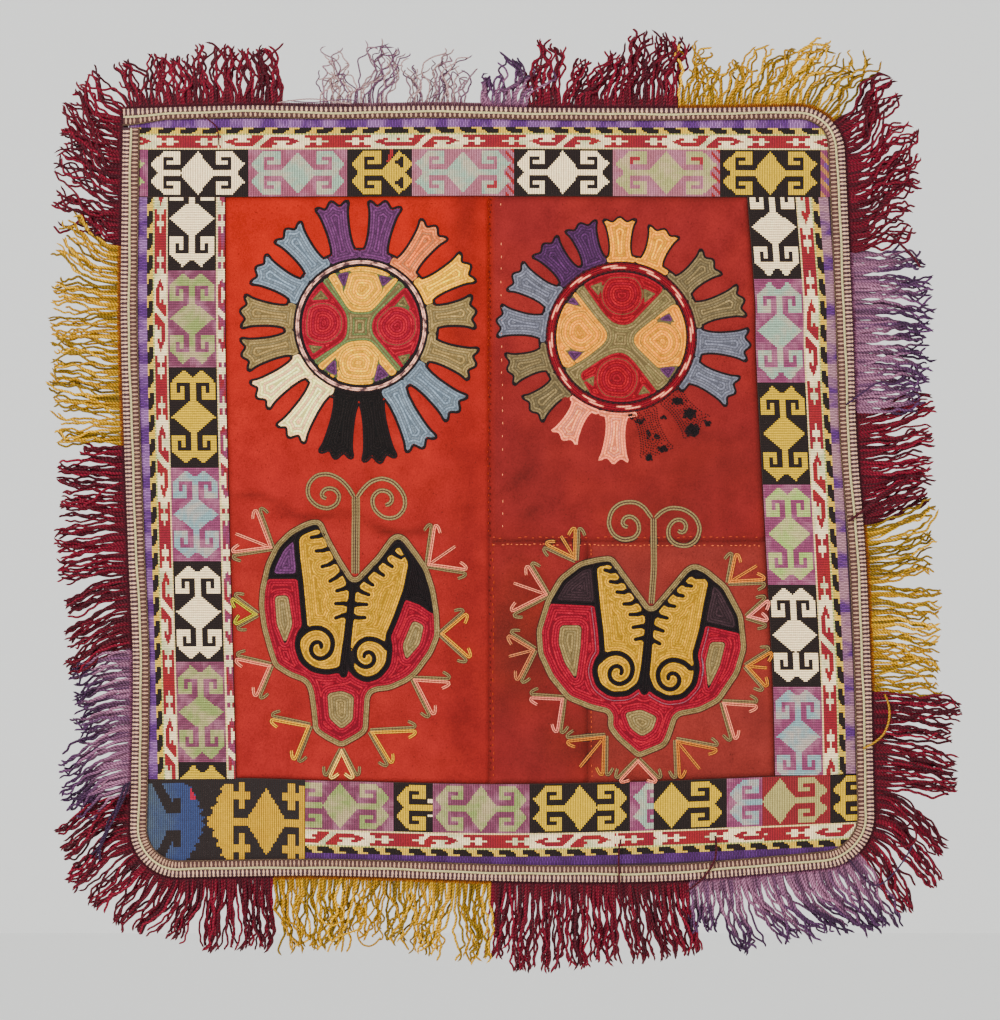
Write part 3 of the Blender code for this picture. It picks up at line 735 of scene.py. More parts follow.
def block_colours(blocks, along, row):
    """Colours of one row of stitches over the blocks of a border."""
    colours = np.tile(tone(BLACK), (len(along), 1))
    for (start, light, dark, first), (end, *_) in zip(blocks, blocks[1:]):
        here = (along >= start) & (along < end)
        cropped = end - start < SHORT_BLOCK and first == 0
        pitch = STITCH_PITCH if cropped else (end - start) / (BLOCK_COLUMNS - first)
        column = first + (along[here] - start) / pitch
        if start == HOLED_BLOCK:
            column = np.where(column > 33, column + 20, column)
        pattern = block_is_light(column, row + 0.5)
        if start == HOLED_BLOCK:
            away = np.abs(abs(row - 12.0) - 5.5)
            pattern = pattern & ~((column > 27.0 + away * 1.6) & (column < 32.5) & (away < 2.6))
        if start == CUT_OFF_BLOCK:
            pattern = pattern & (column < 27 - (np.abs(row - 12.0) > 1.6) * 7)
        light_tint = np.tile(tone(light), (here.sum(), 1))
        dark_tint = np.tile(tone(dark), (here.sum(), 1))
        if dark in (MAUVE, PALE_MAUVE, DUSTY_MAUVE, DEEP_MAUVE):
            faded = wander(along[here], row * STITCH_PITCH + start, 9, start)
            dark_tint = mixed(dark_tint, tone((192, 154, 168)), np.clip(faded * 1.2 - 0.5, 0, 0.45))
            light_tint = mixed(light_tint, tone((206, 186, 172)), np.clip(faded - 0.3, 0, 0.5))
        if dark == PALE_MAUVE:
            dark_tint[(column > 55) & ((column + row * 0.9) % 5 < 2)] = tone(RED)
            sides = np.minimum(column, BLOCK_COLUMNS - column)
            hook = (sides > 9.5) & (sides < 15.7) & (3 < min(row, 24 - row) < 8)
            hook = hook & ((row > 12) if start == FAR_HOOKS_BLOCK else ((row < 12) & (column > 30)))
            dark_tint[hook] = tone((190, 70, 80))
        if start == SLANTED_BLOCK:
            slanting = (np.floor(column) + row) % 7 < 3
            light_tint = np.where(slanting[:, None], tone((206, 170, 110)), tone((140, 100, 160)))
            dark_tint = np.where(slanting[:, None], tone((196, 150, 110)), tone(MAUVE))
        if start == CUT_OFF_BLOCK:
            dark_tint[(column > 20.5) & (column < 23) & (row in (8, 9, 16))] = tone(CREAM)
        if start == HOLED_BLOCK and row > 17:
            dark_tint[np.abs(column - 26 + (24 - row) * 0.3) < 1.1] = tone(RED)
        colours[here] = np.where(pattern[:, None], light_tint, dark_tint)
    return colours


MEANDER_COLUMNS = 84
HALF_MEANDER = MEANDER_COLUMNS / 2

# Where the narrow strips of the top border change
TOP_JOIN = -64.4

# Runs of the meander strip along each border: end, middle of one of its bars, period, sense of its slant
TOP_RUNS = ((-188, -210.4, 99.0, 1), (TOP_JOIN, -105.5, 104.8, 1), (256, 4.4, 99.5, 1))
RIGHT_RUNS = ((480, 107.8, 106.8, 1),)
LEFT_RUNS = ((480, 93.6, 102.6, -1),)
BOTTOM_RUNS = ((-44.1, -59.3, 106.0, -1), (90.3, 6.1, 106.0, -1), (116.2, 114.9, 106.0, -1),
               (192.7, 144.9, 106.0, -1), (280, 202.0, 106.0, -1))


def meander_phase(runs, along):
    """Columns of the strip counted from the middle of a bar."""
    phase = np.zeros(along.shape)
    begin = -400.0
    for end, middle, period, sense in runs:
        here = (along >= begin) & (along < end)
        phase[here] = (along[here] - middle) * sense * MEANDER_COLUMNS / period
        begin = end
    return phase


def meander_is_white(phase, r):
    """Narrow strip: a plain bar with two crosses, then a pair of hooks that a slanting line parts."""
    away = np.abs((phase + HALF_MEANDER) % MEANDER_COLUMNS - HALF_MEANDER)
    cross = ((np.abs(away - 10.2) <= 5.2) & (abs(r) < 1)) | ((np.abs(away - 10.2) <= 1.7) & (abs(r) <= 2))
    block = ((away >= 15.2) & (abs(r) <= 2)) | (away > 18.6)
    pair = phase % MEANDER_COLUMNS - HALF_MEANDER
    turn = np.where(pair > 0, 1.0, -1.0)
    x = pair * turn
    y = r * turn
    white = (np.abs(x + 0.96 * y) <= 2.1) | ((y <= -3.2) & (x >= 1)) | (x > 21.5 - 2.2 * np.abs(y + 0.2))
    white = white | ((y > -0.4) & (y <= 0.9) & (x >= 6.5) & (x <= 15.3))
    white = white | ((y > 0.9) & (y <= 2.5) & (x >= 8.5) & (x <= 13.5)) | ((y > 2.5) & (x >= 6))
    return np.where(x < HALF_MEANDER - 20, white, cross | block)


def dotted(column, one, other):
    """Two colours that alternate from column to column."""
    share = (np.floor(column) % 2)[:, None]
    return tone(one) * (1 - share) + tone(other) * share


def strip_colours(kind, along, row, row_count, runs):
    """Colours of one row of stitches of a narrow strip; row 0 lies next to the ground."""
    column = along / STITCH_PITCH
    if kind in ("meander", "inner"):
        if row == (0 if kind == "meander" else row_count - 1):
            return dotted(column, (206, 200, 168), (222, 208, 186))
        white = meander_is_white(meander_phase(runs, along), 5 - row if kind == "meander" else 1 - row)
        red = mixed(tone(RED), tone((158, 40, 66)), wander(along, row, 17, 3.0) * 0.6)
        cream = mixed(tone(CREAM), tone((184, 194, 164)),
                      np.clip(wander(along, row, 12, 8.0) * 1.4 - 0.5, 0, 0.8))
        if kind == "inner":
            red = mixed(red, tone(MAUVE), np.clip(wander(along, row * 3, 14, 1.0) * 2.6 - 0.8, 0, 1))
        return np.where(white[:, None], cream, red)
    if kind == "stair":
        sense = -1 if runs is TOP_RUNS else 1
        phase = np.where(along > TOP_JOIN, sense, 1) * column % 13.4
        step = row_count - 1 - row
        if row == 0:
            return dotted(column, (172, 182, 130), (216, 206, 168))
        lead = (3.5, 3.5, 2.0, 0.5)[min(step, 3)]
        dark = (phase > (10.0 if step == 0 else 6.7)) | (phase < lead)
        yellow = mixed(tone((220, 190, 108)), tone((206, 196, 138)), wander(along, row, 6, 4.0))
        return np.where(dark[:, None], tone(BLACK), yellow)
    if kind == "purple":
        dyed = np.clip(wander(along, row * 0.4, 8, 6.0) * 1.6 - 0.5 + 0.2 * (runs is RIGHT_RUNS), 0, 0.7)
        if runs is BOTTOM_RUNS:
            purple = mixed(tone(DEEP_PURPLE), tone(PURPLE), dyed)
        else:
            purple = mixed(tone(PURPLE), tone((190, 160, 160) if runs is RIGHT_RUNS else LILAC), dyed)
        return purple * np.where(np.floor(column + 0.4 * row) % 2 == 0, 1.25, 0.85)[:, None]
    return np.tile(tone((70, 50, 70)), (len(along), 1))


def beside(seam, level_seam, sense):
    """Function that gives the places at distances from a seam and at runs along it."""
    def place(distance, along):
        if level_seam:
            return along, seam(along) + sense * distance
        return seam(-along) + sense * distance, -along
    return place


def stitched_layer(name, place, start, end, strips, paint, pitch):
    """Layer of cross stitches, one face each, in front of a border's cloth."""
    widths = np.concatenate([np.full(row_count, width / row_count) for _, row_count, width in strips])
    across = np.concatenate(((0.15,), 0.15 + np.cumsum(widths)))
    columns = round((end - start) / pitch)
    along = np.linspace(start, end, columns + 1)
    distance, run = np.meshgrid(across, along)
    x, z = place(distance, run)
    places = pull_inside(x.ravel(), z.ravel(), BORDER_INSET - 0.2)
    points = in_front(np.stack(places, axis=1), STITCH_FRONT)
    faces = grid_faces(columns + 1, len(across))
    middles = (along[:-1] + along[1:]) / 2
    colours = np.stack([paint(kind, middles, row, row_count) for kind, row_count, _ in strips
                        for row in range(row_count)], axis=1)
    colours *= dice.normal(1.0, 0.055, colours.shape[:2])[..., None]
    tints = np.repeat(np.clip(colours, 0, 1).reshape(-1, 3), 4, axis=0)
    column_index, row_index = np.divmod(np.arange(len(faces)), len(widths))
    corner_u = np.stack((column_index, column_index + 1, column_index + 1, column_index), axis=1)
    corner_v = np.stack((row_index, row_index, row_index + 1, row_index + 1), axis=1)
    uvs = np.stack((corner_u, corner_v), axis=2).reshape(-1, 2)
    a, b, c = points[faces[0][:3]]
    if np.cross(b - a, c - a)[1] > 0:
        faces = faces[:, ::-1]
        tints = tints.reshape(-1, 4, 3)[:, ::-1].reshape(-1, 3)
        uvs = uvs.reshape(-1, 4, 2)[:, ::-1].reshape(-1, 2)
    piece = make_piece(name, points, faces, STITCH, tints, uvs)
    return piece


def strip_paint(blocks, runs):
    def paint(kind, along, row, row_count):
        if kind == "blocks":
            return block_colours(blocks, along, row)
        return strip_colours(kind, along, row, row_count, runs)
    return paint


# Corner patch: large diamond with stepped hooks, and part of a medallion
PATCH_PITCH = 1.32
PATCH_DIAMOND_X = -155.0
PATCH_MIDDLE_DEPTH = 30.0
PATCH_STRIPS = (("patch", 49, 64.7),)


def patch_paint(_kind, along, row, _row_count):
    """Colours of one row of the corner patch."""
    depth = (row + 0.5) * PATCH_PITCH - PATCH_MIDDLE_DEPTH
    b = np.full(along.shape, abs(depth))
    a = np.abs(along - PATCH_DIAMOND_X)
    teeth = 1.7 - 3.4 * np.abs((b / 7.0 + 0.15) % 1.0 - 0.5) * 2
    diamond = a / 14.6 + b / 23.6 <= 1
    stem = (b < 2.6) & (a < 24)
    bar = (a > 23.4) & (a < 41.0 - b * 0.45 + teeth) & (b < 26.5)
    upright = (np.abs(a - 17.2) < 2.4) & (b > 8.6) & (b < 26.8)
    arm = (np.abs(b - 18.4) < 2.7) & (a > 11.6) & (a < 24)
    yellow = diamond | stem | bar | upright | arm
    serration = np.abs((b % 5.4) - 2.7) * 1.1
    edge = -197.6 - (b / 24.0) ** 1.7 * 9.5 - serration
    medallion = (along < edge) & (b < 28)
    slant = -220.5 - (b - 6.0) * 0.52
    hook = (np.abs(along - slant) < 3.8) & (b > 5.6) & (b < 28)
    hook = hook | ((np.abs(along + 220.6) < 5.0) & (b > 5.6) & (b < 13.4))
    hook = hook | ((np.abs(along + 217.6) < 3.0) & (b > 5.6) & (b < 17.2))
    grey = np.clip((-216 - along) / 30 + wander(along, b, 9, 2) * 0.5 - 0.25, 0, 0.9)
    blue = mixed(tone((62, 88, 138)), tone((100, 118, 122)), grey)
    gold = mixed(tone((222, 192, 6)), tone((208, 166, 14)), wander(along, b, 11, 5) * 0.6)
    colours = np.tile(tone((38, 33, 33)), (len(along), 1))
    colours = np.where((medallion & ~hook)[:, None], blue, colours)
    colours = np.where(yellow[:, None], gold, colours)
    if -24 < depth < -16:
        pink = (along > -208.8) & (along < -208.4 + (depth + 24.5) * 0.5)
        colours[pink] = tone((204, 64, 92))
    return colours


def make_borders():
    panels = {
        "border_top": (left_side_x, right_side_x, top_seam_z, top_side_z),
        "border_right": (right_seam_x, right_side_x, bottom_seam_z, top_seam_z),
        "border_bottom": (level(PATCH_SEAM_X), right_side_x, bottom_side_z, bottom_seam_z),
        "border_left": (left_side_x, left_seam_x, bottom_seam_z, top_seam_z),
        "corner_patch": (left_side_x, level(PATCH_SEAM_X), bottom_side_z, bottom_seam_z),
    }
    layers = {
        "border_top": (beside(top_seam_z, True, 1), -251.0, 247.0, TOP_STRIPS,
                       strip_paint(TOP_BLOCKS, TOP_RUNS)),
        "border_right": (beside(right_seam_x, False, 1), 62.6, 467.0, RIGHT_STRIPS,
                         strip_paint(RIGHT_BLOCKS, RIGHT_RUNS)),
        "border_bottom": (beside(bottom_seam_z, True, -1), -127.8, 268.0, BOTTOM_STRIPS,
                          strip_paint(BOTTOM_BLOCKS, BOTTOM_RUNS)),
        "border_left": (beside(left_seam_x, False, -1), 62.6, 469.6, LEFT_STRIPS,
                        strip_paint(LEFT_BLOCKS, LEFT_RUNS)),
        "corner_patch": (beside(bottom_seam_z, True, -1), -249.0, -128.2, PATCH_STRIPS, patch_paint),
    }
    for name, sides in panels.items():
        x, z, _, _ = panel_grid(sides, 6, 8)
        inside_x, inside_z = pull_inside(x.ravel(), z.ravel(), BORDER_INSET)
        x = inside_x.reshape(x.shape)
        z = inside_z.reshape(x.shape)
        depth = cloth_depth(x, z) - BORDER_FRONT
        piece = make_sheet("cloth_" + name, x, z, depth, BACKING_THICKNESS, BACKING)
        pitch = PATCH_PITCH if name == "corner_patch" else STITCH_PITCH
        stitches = stitched_layer("stitches_" + name, *layers[name], pitch)
        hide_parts(name)


# Rows of chain stitch

ROW_PITCH = 1.75
FINE_PITCH = 1.25
ROW_GAP = 0.03
ROW_LIFT = 0.75
HIGH_LIFT = 0.9
SUNK = 0.15
CHAIN_LENGTH = 2.3
SHORTEST_ROW = 1.6


class Batch:
    """Ridges and flat layers on the cloth, collected for one joined mesh."""

    def __init__(self, base=GROUND_FRONT):
        self.base = base
        self.points = []
        self.faces = []
        self.uvs = []
        self.tints = []
        self.count = 0

    def add(self, points, faces, uvs, tints):
        self.points.append(points)
        self.faces.append(faces + self.count)
        self.uvs.append(uvs)
        self.tints.append(tints)
        self.count += len(points)

    def ribbon(self, line, colour, width=ROW_PITCH - ROW_GAP, lift=ROW_LIFT, closed=False, step=CHAIN_LENGTH):
        """Add a ridge along a line of places (x, z) on the cloth."""
        line = np.asarray(line, dtype=float)
        if len(line) < 2:
            return
        side = left_of(line, closed)
        if closed:
            line = np.vstack((line, line[:1]))
            side = np.vstack((side, side[:1]))
            if np.ndim(colour) == 2 and len(colour) > 1:
                colour = np.vstack((colour, colour[:1]))
        run = run_along(line) / step
        lifts = np.full(len(line), lift)
        halves = np.full(len(line), width / 2)
        if not closed:
            lifts[[0, -1]] = 0.2 * lift
            halves[[0, -1]] *= 0.55
        side *= halves[:, None]
        strips = [in_front(line + side * sense, self.base + raised)
                  for sense, raised in ((1, -SUNK), (0, lifts), (-1, -SUNK))]
        points = np.stack(strips, axis=1).reshape(-1, 3)
        uvs = np.stack((np.repeat(run, 3), np.tile((-1.0, 0.0, 1.0), len(line))), axis=1)
        tints = np.repeat(np.broadcast_to(np.atleast_2d(colour), (len(line), 3)), 3, axis=0)
        self.add(points, grid_faces(len(line), 3)[:, ::-1], uvs, tints)

    def underlay(self, canvas, field, colour, raised=0.1):
        """Add a flat layer under the rows of a shape, in strips of short faces."""
        inside = field > 0.4
        corners = []
        for j in range(0, inside.shape[1] - 2, 2):
            both = np.concatenate(((False,), inside[:, j] & inside[:, j + 2], (False,)))
            changes = np.flatnonzero(both[1:] != both[:-1])
            for first, last in zip(changes[::2], changes[1::2] - 1):
                cuts = np.append(np.arange(first, last, 8), last)
                for left, right in zip(cuts[:-1], cuts[1:]):
                    corners += [(left, j), (right, j), (right, j + 2), (left, j + 2)]
        if not corners:
            return
        places = canvas.low + canvas.cell * np.array(corners, dtype=float)
        count = len(places)
        faces = np.arange(count).reshape(-1, 4)
        self.add(in_front(places, self.base + raised), faces, np.tile((0.5, 0.0), (count, 1)),
                 np.tile(colour, (count, 1)))

    def finish(self, name, material):
        piece = make_piece(name, np.vstack(self.points), np.vstack(self.faces), material,
                           np.vstack(self.tints), np.vstack(self.uvs))
        return piece


def resampled(line, spacing, closed=False):
    """The same line with evenly spaced points."""
    line = np.asarray(line, dtype=float)
    if closed:
        line = np.vstack((line, line[:1]))
    run = run_along(line)
    count = max(3 if closed else 1, int(round(run[-1] / spacing)))
    places = np.linspace(0, run[-1], count + 1)
    if closed:
        places = places[:-1]
    return np.stack([np.interp(places, run, line[:, axis]) for axis in (0, 1)], axis=1)


def rounded(polygon, cut=2.0, closed=True):
    """Line whose corners are cut off twice, by at most that length."""
    line = np.asarray(polygon, dtype=float)
    for size in (cut, cut * 0.35):
        ahead = np.roll(line, -1, axis=0) - line
        length = np.maximum(np.linalg.norm(ahead, axis=1), 1e-6)[:, None]
        share = np.minimum(size / length, 0.3)
        pair = np.stack((line + ahead * share, line + ahead * (1 - share)), axis=1).reshape(-1, 2)
        line = pair if closed else np.vstack((line[:1], pair[1:-3], line[-1:]))
    return line


# Fields of distance go no further out from a shape than this
FIELD_REACH = 18.0


class Canvas:
    """Grid of places on which shapes are fields of distance, positive inside them."""

    def __init__(self, low, high, cell=0.5):
        self.low = np.array(low, dtype=float)
        self.cell = cell
        counts = [int((b - a) / cell) + 1 for a, b in zip(low, high)]
        self.x, self.z = np.meshgrid(low[0] + cell * np.arange(counts[0]),
                                     low[1] + cell * np.arange(counts[1]), indexing="ij")

    def window(self, points, margin=FIELD_REACH):
        """Part of the grid round some points."""
        low = np.floor((points.min(axis=0) - margin - self.low) / self.cell).astype(int)
        high = np.ceil((points.max(axis=0) + margin - self.low) / self.cell).astype(int)
        low = np.maximum(low, 0)
        return slice(low[0], max(high[0], low[0])), slice(low[1], max(high[1], low[1]))

    def polygon(self, corners):
        corners = np.asarray(corners, dtype=float)
        field = np.full(self.x.shape, -FIELD_REACH)
        part = self.window(corners)
        x = self.x[part]
        z = self.z[part]
        best = np.full(x.shape, 1e9)
        inside = np.zeros(x.shape, dtype=bool)
        for a, b in zip(corners, np.roll(corners, -1, axis=0)):
            best = np.minimum(best, segment_distance(x, z, a, b))
            if a[1] != b[1]:
                crosses = (a[1] > z) != (b[1] > z)
                inside ^= crosses & (x < a[0] + (z - a[1]) * (b[0] - a[0]) / (b[1] - a[1]))
        field[part] = np.maximum(np.where(inside, best, -best), -FIELD_REACH)
        return field

    def line(self, points, half_widths):
        """Field of a band along a line; its half width may change from point to point."""
        points = np.asarray(points, dtype=float)
        halves = np.broadcast_to(half_widths, (len(points),))
        field = np.full(self.x.shape, -FIELD_REACH)
        part = self.window(points)
        x = self.x[part]
        z = self.z[part]
        best = field[part]
        for i in range(len(points) - 1):
            away = segment_distance(x, z, points[i], points[i + 1])
            best = np.maximum(best, (halves[i] + halves[i + 1]) / 2 - away)
        field[part] = best
        return field

    def disc(self, centre, radius):
        return radius - np.hypot(self.x - centre[0], self.z - centre[1])

    def at(self, field, places):
        """Values of a field at places."""
        index = np.rint((places - self.low) / self.cell).astype(int)
        return field[np.clip(index[:, 0], 0, field.shape[0] - 1), np.clip(index[:, 1], 0, field.shape[1] - 1)]


def segment_distance(x, z, a, b):
    along = b - a
    t = np.clip(((x - a[0]) * along[0] + (z - a[1]) * along[1]) / max(along @ along, 1e-12), 0, 1)
    return np.hypot(x - a[0] - t * along[0], z - a[1] - t * along[1])


def both(*fields):
    """Where all shapes are."""
    return np.minimum.reduce(fields)


def either(*fields):
    """Where any of the shapes is."""
    return np.maximum.reduce(fields)


# Which cell edges a contour joins, by the corners above the level: edges are bottom 0, right 1, top 2, left 3
CONTOUR_EDGES = {1: ((0, 3),), 2: ((1, 0),), 3: ((1, 3),), 4: ((2, 1),), 5: ((0, 3), (2, 1)), 6: ((2, 0),),
                 7: ((2, 3),), 8: ((3, 2),), 9: ((0, 2),), 10: ((1, 0), (3, 2)), 11: ((1, 2),), 12: ((3, 1),),
                 13: ((0, 1),), 14: ((3, 0),)}


def contours(canvas, field, height):
    """Closed lines along which a field crosses a height."""
    above = field > height
    code = above[:-1, :-1] + 2 * above[1:, :-1] + 4 * above[1:, 1:] + 8 * above[:-1, 1:]
    following = {}
    for i, j in zip(*(indices.tolist() for indices in np.nonzero((code > 0) & (code < 15)))):
        edges = ((i, j, 0), (i + 1, j, 1), (i, j + 1, 0), (i, j, 1))
        for start, end in CONTOUR_EDGES[int(code[i, j])]:
            following[edges[start]] = edges[end]
    lines = []
    while following:
        first, here = following.popitem()
        line = [first]
        while here != first and here in following:
            line.append(here)
            here = following.pop(here)
        i, j, upright = np.array(line).T
        one = field[i, j]
        other = np.where(upright == 1, field[i, np.minimum(j + 1, field.shape[1] - 1)],
                         field[np.minimum(i + 1, field.shape[0] - 1), j])
        share = np.clip((height - one) / np.where(other == one, 1.0, other - one), 0, 1)
        x = canvas.low[0] + canvas.cell * (i + share * (upright == 0))
        z = canvas.low[1] + canvas.cell * (j + share * (upright == 1))
        lines.append(np.stack((x, z), axis=1))
    return lines


def runs_within(line, kept):
    """Parts of a closed line whose points are kept, as (line, closed)."""
    if kept.all():
        return [(line, True)]
    start = int(np.argmin(kept))
    line = np.roll(line, -start, axis=0)
    kept = np.append(np.roll(kept, -start), False)
    changes = np.flatnonzero(np.diff(kept.astype(int)))
    return [(line[first + 1:last + 1], False) for first, last in zip(changes[::2], changes[1::2])]


def rows(batch, canvas, field, heights, colour_of, lift=ROW_LIFT, width=ROW_PITCH - ROW_GAP, within=None,
         spacing=1.6):
    """Rows of chain stitch along the contours of a shape. colour_of gives a row's screen colour."""
    for number, height in enumerate(heights):
        for line in contours(canvas, field, height):
            length = run_along(line)[-1]
            if length < SHORTEST_ROW:
                continue
            line = resampled(line, min(spacing, length / 5), True)
            kept = np.ones(len(line), dtype=bool) if within is None else canvas.at(within, line) > 0
            for run, closed in runs_within(line, kept):
                colour = tone(colour_of(number)) * dice.normal(1.0, 0.06)
                shade_and_wear = 1 + 0.07 * np.sin(np.arange(len(run)) * 0.9 + dice.uniform(0, 6))
                shade_and_wear *= dice.choice((0.66, 1.0, 1.34), len(run), p=(0.1, 0.79, 0.11))
                batch.ribbon(run, np.clip(colour * shade_and_wear[:, None], 0, 1), width, lift, closed)


def fill(batch, canvas, field, colour_of, lift=ROW_LIFT, pitch=ROW_PITCH):
    """Nested rows of chain stitch that fill a shape, over a darker layer of painted shade that shows between
    the rows.
    """
    if field.max() < 0.4:
        return
    # Darker layer under the rows: painted shade that shows between them.
    batch.underlay(canvas, field, tone(colour_of(1)) * 0.4)
    first = pitch * 0.48
    heights = np.arange(first, max(field.max() - 0.1, first + 0.1), pitch)
    rows(batch, canvas, field, heights, colour_of, lift, pitch - ROW_GAP)


def shades(colour, steps=(1.0, 1.04, 0.96, 1.03, 1.05, 0.97)):
    """Colours of nested rows: a few shades of one silk."""
    base = np.array(colour, dtype=float)
    return lambda number: np.clip(base * steps[number % len(steps)], 0, 255)


def plain(colour):
    return lambda number: colour


def direction(degrees):
    """Unit vector at an angle clockwise from straight up."""
    return np.array((math.sin(math.radians(degrees)), math.cos(math.radians(degrees))))


TAN_SIZE = 0.78
WIDEST_COLLAR = 30.0

# Side of a ray: share of the way from the ring to the tip, half width
RAY_SIDE = (
    (0.0, 8.6), (0.13, 8.0), (0.24, 7.1), (0.42, 7.1), (0.6, 7.9), (0.74, 8.8), (0.84, 9.8), (0.93, 11.6),
    (0.955, 11.0), (0.935, 8.4), (0.875, 5.6), (0.92, 3.1), (0.985, 1.4), (1.0, 0.0),
)


def ray_polygon(centre, angle, foot, reach):
    """One ray: a neck that flares into an end with three teeth."""
    out = direction(angle)
    side = np.array((out[1], -out[0]))
    right, left = ([centre + out * (foot + (reach - foot) * share) + sense * side * half
                    for share, half in RAY_SIDE] for sense in (1, -1))
    return np.array(right + left[::-1])


# Rays: angle clockwise from the top, reach, colour. Worn rays: angle, reach. Dark patches: middle, radii.
# Petals: colour, middle and radius of the round target in it, corners. All places are from the sun's middle.
LEFT_SUN = {
    "centre": (-88.9, -152.4),
    "ring": 47.2,
    "disc": 42.0,
    "foot": 53.2,
    "rays": ((-13.6, 90, SUN_VIOLET), (11.3, 89.5, SUN_VIOLET), (37.2, 88, PEACH), (61.3, 88.4, YELLOW),
        (83, 82, OLIVE), (109, 86, OLIVE), (131, 92, SUN_BLUE), (153, 97, SUN_BLUE), (172, 97.8, BLACK),
        (191, 95.6, BLACK), (213, 94, PALE), (235.5, 89.5, PALE), (256, 87, OLIVE), (277, 86, OLIVE),
        (299, 85, SUN_BLUE), (322, 86.4, SUN_BLUE)),
    "shade_and_wear": (),
    "patches": (),
    "petals": ((ROSE, (-27.0, 2.0), 13.5, ((-26.9, 31.3), (-41.9, 15), (-43.8, 0), (-40, -15),
        (-34.4, -25), (-11.3, -10), (-9.4, -3.8), (-9.4, 6.3), (-12.5, 12.5))), (ROSE, (25.0, 0.0), 13.5,
        ((30, 26.9), (39.4, 15), (41.3, 0), (37.5, -17.5), (29.4, -31.3), (9.4, -7.5), (7.5, -3.8),
        (7.5, 2.5), (10, 7.5))), (YELLOW, (1.3, 27.2), 14.1, ((-23.8, 35), (-13.8, 40), (0, 41.5),
        (13.8, 40), (27.5, 33.1), (8.8, 11.3), (5, 9.4), (-5, 9.4), (-8.8, 11.3))), (YELLOW, (-1.3, -26.5),
        14.1, ((-31.3, -28.1), (-11.3, -12.5), (-6.3, -10.6), (5, -10), (8.8, -12.5), (26.3, -33.1),
        (13.8, -40), (-1.3, -41.5), (-18.8, -38)))),
    "triangles": ((SUN_VIOLET, (((-17.3, 36), (-7.8, 38.5), (-11.5, 25.3)), ((11.5, 36), (22.9, 33.5),
        (15, 26.5)), ((-26, -30.5), (-17.6, -22.3), (-16.4, -36)), ((12, -25.4), (20.4, -34.9),
        (8.4, -40.4)))), (TAN, (((-35.4, 17.6), (-28.1, 25.9), (-21.6, 18.3)), ((-37.8, -13.0),
        (-25.4, -14.4), (-33.8, -20.3)), ((22.9, 13.9), (30, 22.1), (35.3, 11.5)), ((24.8, -21.3),
        (35.3, -18.9), (29.4, -28.4))))),
    "cross": DULL_GREEN,
    "band": ((226, 200, 190), (120, 84, 88)),
    "dashed": False,
    "outline": 1.9,
}
RIGHT_SUN = {
    "centre": (93.3, -160.5),
    "ring": 52.8,
    "disc": 46.0,
    "foot": 57.0,
    "rays": ((-0.8, 85, ORANGE_YELLOW), (22, 82.4, ORANGE_YELLOW), (50, 85, DIM_OLIVE),
        (73, 91, DIM_OLIVE), (93.5, 91.4, DIM_BLUE), (116, 89.7, DIM_BLUE), (183.6, 90.8, PINK),
        (209.6, 84.8, PINK), (231, 82.7, DIM_OLIVE), (254, 84, DIM_OLIVE), (277.7, 89, DIM_BLUE),
        (300, 88.8, DIM_BLUE), (320, 86, DIM_VIOLET), (340, 85.8, DIM_VIOLET)),
    "shade_and_wear": ((140, 84), (163, 86)),
    "patches": (((39.7, -44.6), 5.0, 3.0), ((48, -53.7), 5.2, 4.2), ((49.8, -65.2), 5.4, 5.0),
        ((60.3, -60.3), 3.4, 2.5), ((13.1, -59), 4.0, 2.2), ((6.8, -55.4), 3.0, 2.2),
        ((19, -67), 1.7, 4.0), ((24.6, -69.4), 2.8, 2.2), ((28.8, -78.2), 3.4, 2.8),
        ((19.4, -84.1), 2.8, 3.2), ((29.5, -56.1), 2.8, 1.7)),
    "petals": ((CRIMSON, (0.5, 30.0), 14.0, ((-26.9, 36.9), (-14.4, 41.9), (0.6, 44.4), (15.6, 41.9),
        (28.8, 31.9), (13.1, 15.6), (5.6, 8.1), (-4.4, 8.8), (-11.9, 15.6))), (CRIMSON, (-3.0, -29.0),
        14.0, ((-30, -25.6), (-11.9, -13.8), (-4.4, -10.6), (1.9, -10.6), (8.1, -15.6), (25.6, -38.1),
        (14.4, -43), (-1.9, -45), (-18.1, -40.6))), (ORANGE_YELLOW, (-28.0, 4.0), 14.0, ((-31.9, 32.6),
        (-41, 21.1), (-45.2, 8.9), (-45.2, 0.4), (-43.4, -11.7), (-36.1, -21.4), (-24, -14.1),
        (-11.9, -4.4), (-9.4, 0.4), (-10.7, 5.3), (-17.9, 13.8))), (ORANGE_YELLOW, (27.5, -3.5), 14.0,
        ((35.6, 23.1), (43.1, 10.6), (45, -3.1), (41, -19), (33.8, -30), (9.4, -5.6), (8.1, -0.6),
        (11.9, 4.4)))),
    "triangles": ((TAN, (((-22.8, 35.9), (-12.8, 39.6), (-15.6, 27.9)), ((15.4, 35), (25, 30.6),
        (15.8, 22.9)), ((-26.2, -29.8), (-18.5, -26.3), (-19.2, -35.3)), ((11, -41), (15.4, -32.9),
        (20.9, -39)))), (SUN_VIOLET, (((-38.4, 24), (-33.8, 29), (-27.9, 21.2)), ((-39, -9.2),
        (-26, -10.2), (-33.1, -17.1)), ((24.8, 11.9), (33.5, 17.1), (37.1, 10.5)), ((25.4, -21.5),
        (39, -20), (33.1, -29.6))))),
    "cross": (158, 142, 100),
    "band": ((234, 188, 174), (178, 40, 54)),
    "dashed": True,
    "outline": 1.5,
}


